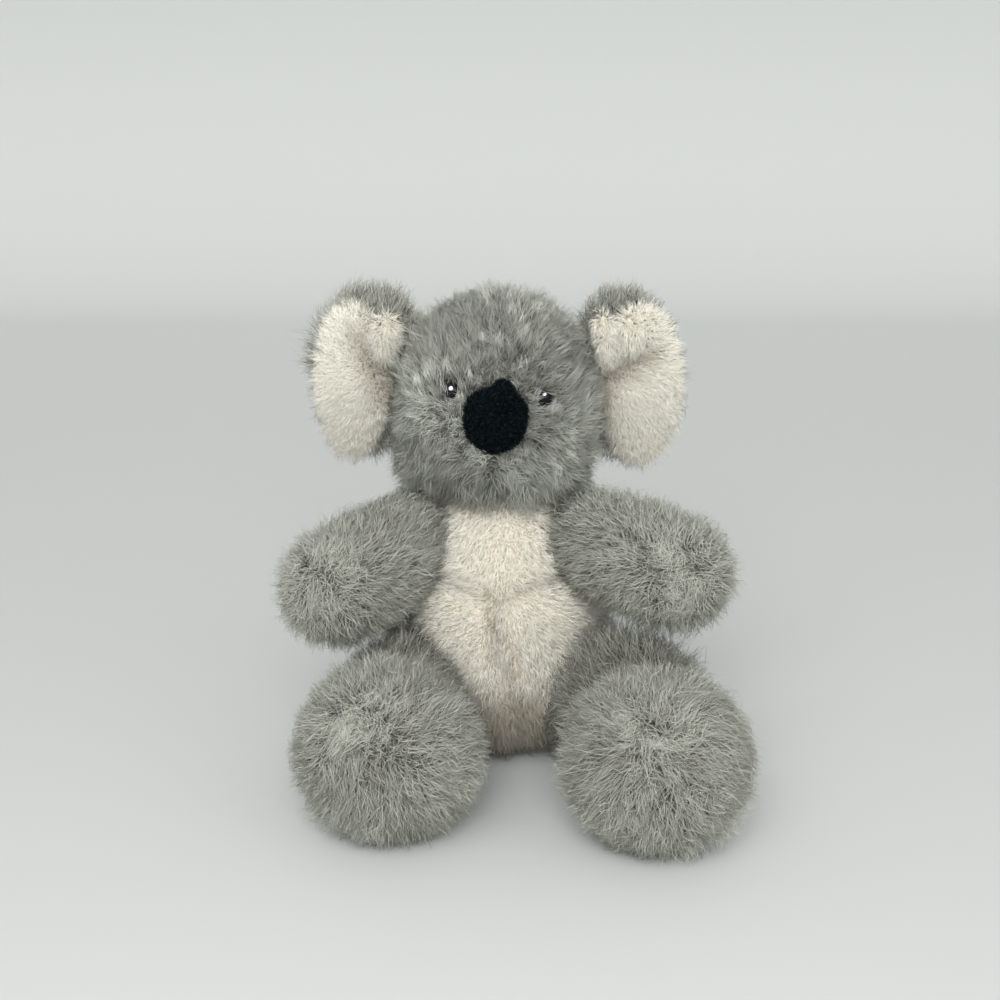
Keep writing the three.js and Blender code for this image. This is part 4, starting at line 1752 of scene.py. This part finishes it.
@dataclass
class Head:
    """The head with its nose and eyes."""

    torso: Torso
    width: float = 0.0875
    depth: float = 0.082
    height: float = 0.088
    over_body: float = 0.014
    set_back: float = 0.003
    tilt: float = 4.8
    width_shares: Shares = (0.97, 0.98, 1, 0.98, 0.97)
    chin_round: float = 0.019
    eye_spacing: float = 0.040
    eye_rise: float = 0.0055
    body: str = "head"
    nose: Nose = field(default_factory=Nose)
    eye: Eye = field(default_factory=Eye)

    @property
    def middle(self) -> Array:
        """The head's middle."""
        return np.array([0, self.set_back, self.torso.height - self.over_body + self.height / 2])

    def set_on_neck(self, points: Array) -> Array:
        """Tilts points of the head's own frame and sets them on the neck."""
        return turn_about(points, 1, self.tilt) + self.middle

    def own_frame(self, points: Array) -> Array:
        """Takes points back into the head's own frame."""
        return turn_about(points - self.middle, 1, -self.tilt)

    def form(self) -> SwellForm:
        """The head's form in place."""
        ends = np.array([[0, 0, -self.height / 2], [0, 0, 0], [0, 0, self.height / 2]])
        return SwellForm(
            curve=tuple(self.set_on_neck(ends)),
            toward=(0, 1, 0),
            size=(self.width, self.depth),
            shares=(self.width_shares, EVEN),
            rounds=(self.chin_round, self.height / 2),
        )

    def eye_seat(self, side: Side) -> tuple[Array, Array]:
        """Finds an eye's place on the head's ellipsoid, x^2/a^2 + y^2/b^2 + z^2/c^2 = 1.

        Args:
            side: Which eye.

        Returns:
            The place on the surface, and the way that the surface faces there.
        """
        x, z = side.value * self.eye_spacing / 2, self.eye_rise
        a, b, c = self.width / 2, self.depth / 2, self.height / 2
        y = -b * math.sqrt(1 - (x / a) ** 2 - (z / c) ** 2)
        facing = unit(np.array([x / a**2, y / b**2, z / c**2]))
        return self.set_on_neck(np.array([x, y, z])), turn_about(facing, 1, self.tilt)

    def eye_roots(self) -> list[Array]:
        """The eyes' places on the cloth, under the pile."""
        return [point - facing * COVER.pile for point, facing in map(self.eye_seat, Side)]

    def off_muzzle(self, own: Array) -> Array:
        """How far points of the head's own frame lie from the cloth behind the nose."""
        muzzle = np.array([self.nose.aside, -self.depth / 2 + COVER.pile, -self.nose.drop])
        return np.linalg.norm(own - muzzle, axis=1)

    def lie(self, points: Array) -> Array:
        """Combs the head's pile.

        In front it lies away from the nose, is parted down the forehead, and lies away from each eye
        round it. Behind, it lies down.

        Args:
            points: Rows of points.

        Returns:
            One direction for each point.
        """
        own = self.own_frame(points)
        nose = np.array([self.nose.aside, -self.depth / 2, -self.nose.drop])
        away = unit(own - nose)
        away[:, 0] += 0.25 * np.tanh(own[:, 0] / 0.004) * smooth(0.01, 0.03, own[:, 2])
        off = np.linalg.norm((own - nose)[:, [0, 2]], axis=1)
        away *= (0.40 + 0.60 * smooth(0.012, 0.022, off))[:, None]
        behind = smooth(0.0, 0.035, own[:, 1])[:, None]
        lie = away * (1 - behind) * 0.95 + np.array([0, 0, -0.9]) * behind
        lie = turn_about(lie, 1, self.tilt)
        for root in self.eye_roots():
            off = points - root
            far = np.linalg.norm(off, axis=1, keepdims=True)
            over = 0.35 + 0.65 * off[:, 2:] / np.maximum(far, TINY)
            lie = lie - unit(off) * bell(far - 0.0038, 0.0018) * over * 0.85
        return lie

    def grows(self, points: Array) -> Array:
        """Finds where the head's pile grows: not under the nose, behind the eyes or in the neck.

        Args:
            points: Rows of points.

        Returns:
            True for each point where it grows.
        """
        own, nose = self.own_frame(points), self.nose
        x, z = own[:, 0] - nose.aside, own[:, 2] + nose.drop
        t = np.clip(z / nose.height + 0.5, 0, 1)
        wide = share_at(nose.shares, t) * round_off(t * nose.height / nose.chin_round)
        wide = wide * round_off((1 - t) * nose.height / nose.brow_round) * nose.width / 2
        inset = 0.0025
        under = (np.abs(x) < wide - inset) & (np.abs(z) < nose.height / 2 - inset) & (own[:, 1] < 0)
        shown = ~under & ~self.torso.form.holds(points, COVER.seam)
        for point, facing in map(self.eye_seat, Side):
            off = points - point - np.array([-0.0005, 0.0, -0.0008])
            off = off - (off @ facing)[:, None] * facing
            far = np.hypot(np.hypot(off[:, 0], off[:, 1]), off[:, 2] * 0.85)
            shown &= (far > self.eye.radius * 0.98) | (own[:, 1] > 0)
        return shown

    def length(self, points: Array) -> Array:
        """Works out the pile's length: short round the nose, and longer round the eyes and under the chin.

        Args:
            points: Rows of points.

        Returns:
            One share for each point.
        """
        own = self.own_frame(points)
        scale = 0.62 + 0.38 * smooth(0.013, 0.026, self.off_muzzle(own))
        for root in self.eye_roots():
            scale = scale * (1 + 0.24 * bell(np.linalg.norm(points - root, axis=1), 0.0060))
        chin = smooth(-0.018, -0.034, own[:, 2]) * smooth(0.01, -0.01, own[:, 1])
        return scale * (1 + 0.35 * chin) * (1 - 0.04 * smooth(0.020, 0.038, own[:, 2]))

    def tint(self, points: Array) -> Array:
        """Works out the pile's tint.

        It is darker on the brow, the right cheek and in the eyes' hollows, as painted shade, darker round
        the muzzle, and mottled.

        Args:
            points: Rows of points.

        Returns:
            One tint for each point.
        """
        own = self.own_frame(points)
        front = smooth(0.02, -0.02, own[:, 1])
        brow = smooth(0.001, 0.009, own[:, 2]) * smooth(0.034, 0.022, own[:, 2])
        cheek = smooth(0.006, 0.020, -own[:, 0]) * smooth(0.006, -0.006, own[:, 2])
        hollow = np.zeros(len(points))
        for root in self.eye_roots():
            off = points - root + np.array([0.0, 0.0, 0.0030])
            hollow += np.exp(-((off[:, 0] / 0.0030) ** 2) - (off[:, 2] / 0.0042) ** 2)
        muzzle = smooth(0.024, 0.015, self.off_muzzle(own))
        mottle = 0.14 * waves(points, 0.0040, 23)[:, 0] + 0.10 * waves(points, 0.0100, 29)[:, 0]
        # Brow, cheek and eye hollows are painted shade; the mottle is random tone.
        return -0.04 - (0.34 * brow + 0.15 * cheek) * front - 0.12 * muzzle - 0.45 * hollow * front + mottle

    def in_sector(self, points: Array, low: float, high: float) -> Array:
        """Finds the points between two angles round the head.

        Args:
            points: Rows of points.
            low: The first angle, in degrees from straight ahead to the koala's left.
            high: The last one.

        Returns:
            True for each point between them.
        """
        own = self.own_frame(points)
        turn = np.degrees(np.arctan2(own[:, 0], -own[:, 1]))
        return (turn >= low) & (turn < high)

    def build(self) -> None:
        """Makes the head's skin, filling, nose, eyes and pile."""
        form = self.form()
        skin = form.skin(-COVER.pile, 70, 90)
        for root in self.eye_roots():
            off = np.linalg.norm(skin.points - root, axis=1)
            skin = skin.moved(skin.points + skin.normals() * (0.0012 * bell(off, 0.006))[:, None])
        cover(skin, "head_skin", GREY_CLOTH, self.body, "head_cover")
        fill = lumpy(form.skin(-COVER.pile - COVER.gap - 0.0035), 0.0005, 0.012, 31)
        dress(fill.build("head_filling"), FIBRE, self.body, "head_stuffing")
        self.build_nose()
        for side in Side:
            self.eye.build(side.label, *self.eye_seat(side), self.body)
        parts = [
            ("head_fur_face_left", 0, 62, 19500),
            ("head_fur_face_right", -62, 0, 19500),
            ("head_fur_left", 62, 128, 13000),
            ("head_fur_right", -128, -62, 13000),
            ("head_fur_back_left", 128, 181, 9000),
            ("head_fur_back_right", -181, -128, 9000),
        ]
        for k, (name, low, high, count) in enumerate(parts):
            where = PileField(
                lie=self.lie,
                grows=lambda spots, low=low, high=high: self.grows(spots) & self.in_sector(spots, low, high),
                length=self.length,
                tint=self.tint,
            )
            dress(grow_pile(name, skin, HEAD_COAT, where, count, seed=401 + k), HEAD_PILE, self.body)

    def build_nose(self) -> None:
        """Makes the nose's pad, curved back a little toward its edges, and its short nap."""
        nose = self.nose
        ahead = self.depth / 2 - (nose.proud + COVER.pile - nose.backing) / 2 + nose.proud
        skin = nose.form().skin(-nose.nap, 44, 64)
        own = skin.points.copy()
        own[:, 1] += own[:, 0] ** 2 / self.depth * 0.8 + own[:, 2] ** 2 / self.depth * 0.5
        rise = smooth(0.2, 1.0, own[:, 2] / (nose.height / 2))
        own[:, 2] += nose.peak * rise * np.exp(-(((own[:, 0] - 0.0025) / 0.0040) ** 4))
        skin = skin.moved(self.set_on_neck(own + np.array([nose.aside, -ahead, -nose.drop])))
        dress(skin.build("nose_skin"), BLACK_CLOTH, self.body, "nose_pad")
        heart = self.set_on_neck(np.array([nose.aside, -self.depth / 2, -nose.drop + 0.003]))
        where = PileField(
            lie=lambda points: unit(points - heart) * 0.8,
            grows=lambda points: self.own_frame(points)[:, 1] < -self.depth / 2 + 0.006,
        )
        dress(grow_pile("nose_nap", skin, NOSE_NAP, where, count=6500, seed=451), BLACK_PILE, self.body)


@dataclass(frozen=True)
class Lobe:
    """A folded pad on an ear's front: how far inward, up and forward of the ear's middle it lies."""

    inward: float
    up: float
    ahead: float
    length: float
    width: float
    thick: float
    lean: float


@dataclass
class Ear:
    """An ear: a grey back, a cream front that is tucked at its inner side, and a folded corner."""

    side: Side
    head: Head
    height: float
    rise: float
    tuck_tip: Pair
    tuck_end: Pair
    lobes: tuple[Lobe, ...]
    corner_trim: float = 0.0
    tuck_depth: float = 1.0
    # A painted shade, darker and warmer, in the ear's hollow below the fold: inward, up, width and height.
    painted_shade_spot: tuple[float, float, float, float] = (0.006, -0.006, 0.005, 0.012)
    width: float = 0.057
    stand_off: float = 0.0105
    set_back: float = 0.006
    toe: float = 8.0
    back_lean: float = 5.0
    front_out: float = 0.0070
    front_drop: float = 0.0033
    front_half_width: float = 0.0152
    back_inset: float = 0.0076
    fringe: float = -0.24
    seed: int = 501

    @property
    def out(self) -> int:
        """Which way along X leads away from the head."""
        return self.side.value

    @property
    def middle(self) -> Array:
        """The ear's middle."""
        aside = self.out * (self.head.width / 2 + self.stand_off)
        return self.head.middle + np.array([aside, self.set_back, self.rise])

    @property
    def back_half(self) -> Pair:
        """Half the width and height of the back's cloth."""
        return self.width / 2 - self.back_inset, self.height / 2 - self.back_inset

    def toed(self, vectors: Array) -> Array:
        """Turns vectors of the ear's own frame as the ear is turned, its outer edge forward."""
        return turn_about(vectors, 2, -self.out * self.toe)

    def place(self, points: Array) -> Array:
        """Sets points of the ear's own frame beside the head."""
        return self.toed(points) + self.middle

    def own_frame(self, points: Array) -> Array:
        """Takes points back into the ear's own frame."""
        return turn_about(points - self.middle, 2, self.out * self.toe)

    def pad(self, half: Pair, middle: Vec, thick: float, shape: Field, lean: float) -> Skin:
        """A thin closed pad with an elliptic outline.

        Rings of points run from the front's middle over the rim to the back's middle. Their distance
        from the middle is the sine of a half turn, and the pad's half thickness there is the cosine
        of it, drawn out flat. The shape field bends both faces alike.

        Args:
            half: Half its width and height.
            middle: The pad's middle in the ear's own frame.
            thick: Its thickness.
            shape: How far each place is moved back, from across and up in the ear's own frame.
            lean: How far its top leans toward the head, in degrees.

        Returns:
            A closed skin in place.
        """
        rings, sides = 44, 72
        turn = np.pi * np.arange(1, rings + 1) / (rings + 1)
        far, deep = np.sin(turn), np.sign(np.cos(turn)) * np.abs(np.cos(turn)) ** 0.6
        around = -2 * np.pi * np.arange(sides) / sides
        x = middle[0] + half[0] * far[:, None] * np.cos(around)
        z = middle[2] + half[1] * far[:, None] * np.sin(around)
        y = middle[1] - thick / 2 * deep[:, None] + 0 * x
        ring = np.stack([x, y, z], axis=-1).reshape(-1, 3)
        front, back = middle[1] - thick / 2, middle[1] + thick / 2
        poles = np.array([[middle[0], front, middle[2]], [middle[0], back, middle[2]]])
        points = turn_about(np.concatenate([poles[:1], ring, poles[1:]]), 1, -self.out * lean)
        points[:, 1] += shape(points)
        return Skin(self.place(points), ring_faces(rings, sides))

    def cup(self, points: Array) -> Array:
        """The ear is cupped: its middle lies back, by a share of what is left to the rim squared."""
        far = (points[:, 0] / (self.width / 2)) ** 2 + (points[:, 2] / (self.height / 2)) ** 2
        return 0.004 * (1 - far)

    def over_tuck(self, points: Array) -> tuple[Array, Array]:
        """Measures points against the tuck's line, which runs from its tip to its end.

        Args:
            points: Rows of points in the ear's own frame.

        Returns:
            How far each lies over the line, on its inner upper side, and how strong the tuck is there.
        """
        inward, up = -self.out * points[:, 0], points[:, 2]
        tip, end = np.array(self.tuck_tip), np.array(self.tuck_end)
        length = np.linalg.norm(end - tip)
        run = (end - tip) / length
        over = (inward - tip[0]) * run[1] - (up - tip[1]) * run[0]
        along = (inward - tip[0]) * run[0] + (up - tip[1]) * run[1]
        return over, 1 - smooth(length - 0.002, length + 0.010, along)

    def front_shape(self, points: Array) -> Array:
        """Shapes the cupped front with its tuck: the cloth bulges over the line and is drawn in along it.

        Args:
            points: Rows of points in the ear's own frame.

        Returns:
            How far back each point lies.
        """
        over, strong = self.over_tuck(points)
        bulge = -0.0042 * smooth(-0.0005, 0.0035, over) * (1 - 0.6 * smooth(0.010, 0.026, over))
        groove = 0.0032 * bell(over + 0.0012, 0.0024)
        return self.cup(points) + (bulge + groove) * strong * self.tuck_depth

    def front_skin(self) -> Skin:
        """The cream front with its lobes, joined into one skin."""
        half = (self.front_half_width, self.height / 2 - 0.0078)
        middle = (self.out * self.front_out, -0.0035, -self.front_drop)
        front = self.pad(half, middle, 0.0045, self.front_shape, 0.0)
        own = self.own_frame(front.points)
        trim = self.corner_trim * smooth(0.0, 0.012, -self.out * own[:, 0])
        own[:, 0] += self.out * (trim * smooth(-0.004, 0.006, own[:, 2]))
        skins = [front.moved(self.place(own))]
        for lobe in self.lobes:
            lean = math.radians(self.out * lobe.lean)
            upward = np.array([math.sin(lean), 0, math.cos(lean)]) * lobe.length / 2
            spot = np.array([-self.out * lobe.inward, -lobe.ahead, lobe.up])
            flap = SwellForm(
                curve=tuple(self.place(np.array([spot - upward, spot, spot + upward]))),
                toward=(0, 1, 0),
                size=(lobe.width, lobe.thick),
                shares=((0.75, 1, 1.15), (0.9, 1, 0.9)),
                rounds=(lobe.length * 0.3, lobe.length * 0.5),
            )
            skins.append(flap.skin(0.0, 20, 28))
        return welded(f"{self.side.label}_front", skins, 0.0010, 4)

    def shown(self, points: Array) -> Array:
        """Which points the head doesn't hide."""
        return ~self.head.form().holds(points, COVER.seam)

    def grey_grows(self, points: Array) -> Array:
        """Finds where the grey pile grows: on the back, over its rim and at its inner corner.

        Args:
            points: Rows of points.

        Returns:
            True for each point where it grows.
        """
        own = turn_about(self.own_frame(points), 1, self.out * self.back_lean)
        half_width, half_height = self.back_half
        rim = (own[:, 0] / half_width) ** 2 + (own[:, 2] / half_height) ** 2
        inner = (-self.out * own[:, 0] > 0.004) & (own[:, 2] > -0.006)
        return self.shown(points) & ((own[:, 1] > 0.002) | (rim > 0.82) | inner)

    def grey_lie(self, points: Array) -> Array:
        """Fans the grey pile out from a place low on the ear's inner side.

        Args:
            points: Rows of points.

        Returns:
            One direction for each point.
        """
        away = self.own_frame(points) - np.array([-self.out * 0.004, 0.0, -0.014])
        away[:, 1] *= 0.3
        return self.toed(unit(away)) * 0.95

    def grey_length(self, points: Array) -> Array:
        """Works out the grey pile's length along the outer edge, where it fringes the cream front.

        Args:
            points: Rows of points.

        Returns:
            One share for each point.
        """
        own = self.own_frame(points)
        outer = smooth(0.0, 0.012, self.out * own[:, 0])
        upper = smooth(-0.004, 0.008, own[:, 2])
        return 1 + self.fringe * outer * upper - 0.24 * outer * (1 - upper)

    def cream_lie(self, points: Array) -> Array:
        """Combs the cream pile away from the ear's hollow, and down over the tuck.

        Args:
            points: Rows of points.

        Returns:
            One direction for each point.
        """
        own = self.own_frame(points)
        away = own - np.array([-self.out * 0.008, 0.0, 0.000])
        away[:, 1] = 0
        far = np.linalg.norm(away, axis=1, keepdims=True)
        away = unit(away) * (0.35 + 0.5 * smooth(0.004, 0.020, far))
        away[:, 2] -= 0.15
        over, strong = self.over_tuck(own)
        fold = (smooth(-0.002, 0.002, over) * smooth(0.036, 0.022, over) * strong)[:, None]
        down = np.array([-self.out * 0.25, 0.0, -0.75])
        return self.toed(away * (1 - fold) + down * fold)

    def cream_tint(self, points: Array) -> Array:
        """Works out the cream pile's tint: painted shade, darker and warmer, under the tuck and in the shaded
        spot, and darker and warmer low down.

        Args:
            points: Rows of points.

        Returns:
            One tint for each point.
        """
        own = self.own_frame(points)
        over, strong = self.over_tuck(own)
        inward, up, wide, tall = self.painted_shade_spot
        spot = ((-self.out * own[:, 0] - inward) / wide) ** 2 + ((own[:, 2] - up) / tall) ** 2
        # Painted shade under the tuck and in the spot in the ear's hollow.
        hollow_shade = np.maximum(bell(over + 0.004, 0.005) * strong, np.exp(-spot))
        return 0.11 - 0.42 * hollow_shade - 0.16 * smooth(0.0, -0.030, own[:, 2])

    def build(self) -> None:
        """Makes both pads, the lobes and their piles."""
        body = f"{self.side.label}_ear"
        back = self.pad(self.back_half, (0, 0.0020, 0), 0.0045, self.cup, self.back_lean)
        cover(back, f"{body}_back_skin", GREY_CLOTH, body, f"{body}_back")
        whole = self.front_skin()
        cover(whole, f"{body}_front_skin", CREAM_CLOTH, body, f"{body}_front")
        where = PileField(
            lie=self.grey_lie,
            grows=self.grey_grows,
            length=self.grey_length,
            tint=lambda points: level(points) - 0.22,
        )
        coat = grow_pile(f"{body}_back_fur", back, EAR_BACK_COAT, where, 12500, self.seed)
        dress(coat, GREY_PILE, body)
        front = whole.toward(self.toed(np.array([0.0, -1.0, 0.0])), -0.1)
        where = PileField(lie=self.cream_lie, grows=self.shown, tint=self.cream_tint)
        coat = grow_pile(f"{body}_front_fur", front, EAR_FRONT_COAT, where, 17500, self.seed + 1)
        dress(coat, CREAM_PILE, body)


@dataclass
class Studio:
    """A pale floor and backdrop, soft lamps and the camera at the photographed angle."""

    camera_at: Vec = (0.001, -0.588, 0.2584)
    pitch: float = 14.0
    lens: float = 50.4
    floor_half: float = 3.0
    backdrop: float = 1.6
    bend: float = 0.5
    pale: Vec = (0.62, 0.64, 0.625)

    def build(self) -> None:
        """Makes the floor, world, lamps and camera."""
        self.build_floor()
        self.build_world()
        self.lamp("front", (-0.03, -0.75, 0.45), size=0.40, power=3.2)
        self.sky_lamp("key", up=40, aside=-18, soft=50, power=1.1)
        self.sky_lamp("fill", up=14, aside=25, soft=80, power=0.9)
        self.build_camera()

    def catch_lamp(self, dome: bpy.types.Object, spot: Vec) -> None:
        """Adds a wide lamp that only one glossy eye shows, as a small round light.

        Args:
            dome: The eye's dome.
            spot: Where the lamp hangs.
        """
        shown_by = bpy.data.collections.new(f"{dome.name}_light")
        shown_by.objects.link(dome)
        made = self.lamp(f"{dome.name}_catch", spot, size=0.44, power=60.0)
        made.light_linking.receiver_collection = shown_by

    def build_floor(self) -> None:
        """Makes a floor that bends up into a backdrop: a profile of a flat run, a quarter round and a
        rise, carried along X."""
        turn = np.linspace(0, math.pi / 2, 24)
        wall = self.backdrop + self.bend
        y = np.concatenate([[-self.floor_half], self.backdrop + self.bend * np.sin(turn), [wall]])
        z = np.concatenate([[0.0], self.bend * (1 - np.cos(turn)), [self.floor_half]])
        x = np.array([-self.floor_half, self.floor_half])
        points = np.stack([np.repeat(x, len(y)), np.tile(y, 2), np.tile(z, 2)], axis=1)
        k, n = np.arange(len(y) - 1), len(y)
        floor = mesh_object("studio_floor", points, quad_faces(k, k + n, k + n + 1, k + 1))
        made, shader = new_material("studio_paper")
        shader.inputs["Base Color"].default_value = (*self.pale, 1)
        shader.inputs["Roughness"].default_value = 0.9
        floor.data.materials.append(made)

    def build_world(self) -> None:
        """An even, nearly neutral light from all round."""
        world = bpy.data.worlds.new("studio_world")
        bpy.context.scene.world = world
        world.use_nodes = True
        back = world.node_tree.nodes["Background"]
        back.inputs["Color"].default_value = (1.0, 1.0, 1.0, 1)
        back.inputs["Strength"].default_value = 0.5

    def lamp(self, name: str, spot: Vec, size: float, power: float) -> bpy.types.Object:
        """Adds a round soft lamp that looks at the koala's chest.

        Args:
            name: The lamp's name.
            spot: Where it hangs.
            size: Its diameter.
            power: Its power in watts.

        Returns:
            The lamp.
        """
        light = bpy.data.lights.new(name, "AREA")
        light.shape = "DISK"
        light.size = size
        light.energy = power
        made = link_new(name, light)
        made.location = spot
        aim = np.array([0, -0.03, 0.10]) - np.array(spot)
        flat = math.hypot(aim[0], aim[1])
        made.rotation_euler = (math.atan2(flat, -aim[2]), 0, math.atan2(-aim[0], aim[1]))
        return made

    def sky_lamp(self, name: str, up: float, aside: float, soft: float, power: float) -> None:
        """Adds a far lamp that lights everything alike, from the front.

        Args:
            name: The lamp's name.
            up: How high it stands, in degrees.
            aside: How far it stands to the koala's left, in degrees.
            soft: How wide it looks, in degrees.
            power: Its light on a surface that faces it, in watts for each square metre.
        """
        light = bpy.data.lights.new(name, "SUN")
        light.angle = math.radians(soft)
        light.energy = power
        made = link_new(name, light)
        made.rotation_euler = (math.radians(90 - up), 0, math.radians(aside))

    def build_camera(self) -> None:
        """A camera level with the horizon but for its pitch."""
        data = bpy.data.cameras.new("camera")
        data.lens = self.lens
        data.sensor_width = 36
        data.clip_start = 0.01
        camera = link_new("camera", data)
        camera.location = self.camera_at
        camera.rotation_euler = (math.radians(90 - self.pitch), 0, 0)
        bpy.context.scene.camera = camera
        bpy.context.scene.view_settings.view_transform = "Standard"


def both_ears(head: Head) -> list[Ear]:
    """Describes the two ears, which differ in size, tuck, folds and fringe.

    Args:
        head: What they are sewn on.

    Returns:
        The left and the right ear.
    """
    inner = Lobe(inward=0.0078, up=0.0165, ahead=0.0072, length=0.021, width=0.0056, thick=0.0056, lean=-5)
    outer = Lobe(inward=-0.0022, up=0.0190, ahead=0.0064, length=0.014, width=0.0052, thick=0.0048, lean=0)
    corner = Lobe(inward=0.0062, up=0.0150, ahead=0.0066, length=0.019, width=0.0060, thick=0.0052, lean=-3)
    left = Ear(
        side=Side.LEFT,
        head=head,
        height=0.080,
        rise=0.0065,
        tuck_tip=(0.0090, 0.0033),
        tuck_end=(-0.0078, 0.0137),
        lobes=(inner, outer),
        painted_shade_spot=(0.0085, -0.008, 0.0055, 0.013),
    )
    right = Ear(
        side=Side.RIGHT,
        head=head,
        height=0.0765,
        rise=0.0085,
        tuck_tip=(0.0040, 0.0058),
        tuck_end=(-0.0021, 0.0170),
        lobes=(corner,),
        corner_trim=0.0020,
        tuck_depth=0.6,
        painted_shade_spot=(0.0021, 0.0010, 0.0048, 0.0115),
        front_half_width=0.0135,
        front_out=0.0078,
        fringe=0.35,
        seed=521,
    )
    return [left, right]


def main() -> None:
    """Builds the studio and the koala."""
    logging.basicConfig(level=logging.INFO, format="%(message)s")
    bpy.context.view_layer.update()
    studio = Studio()
    studio.build()
    torso = Torso()
    head = Head(torso)
    arms = [Arms().limb(side, torso) for side in Side]
    legs = [Legs().limb(side, torso) for side in Side]
    torso.build([*arms, *legs], head.form())
    head.build()
    studio.catch_lamp(bpy.data.objects["left_eye_dome"], (0.150, -0.36, 0.640))
    studio.catch_lamp(bpy.data.objects["right_eye_dome"], (-0.323, -0.388, 0.463))
    for ear in both_ears(head):
        ear.build()
    inside_body = (torso.form, COVER.seam)
    for arm in arms:
        arm.build([inside_body, (head.form(), COVER.seam)], settle=False)
    for leg in legs:
        leg.build([inside_body], settle=True)


if __name__ == "__main__":
    main()
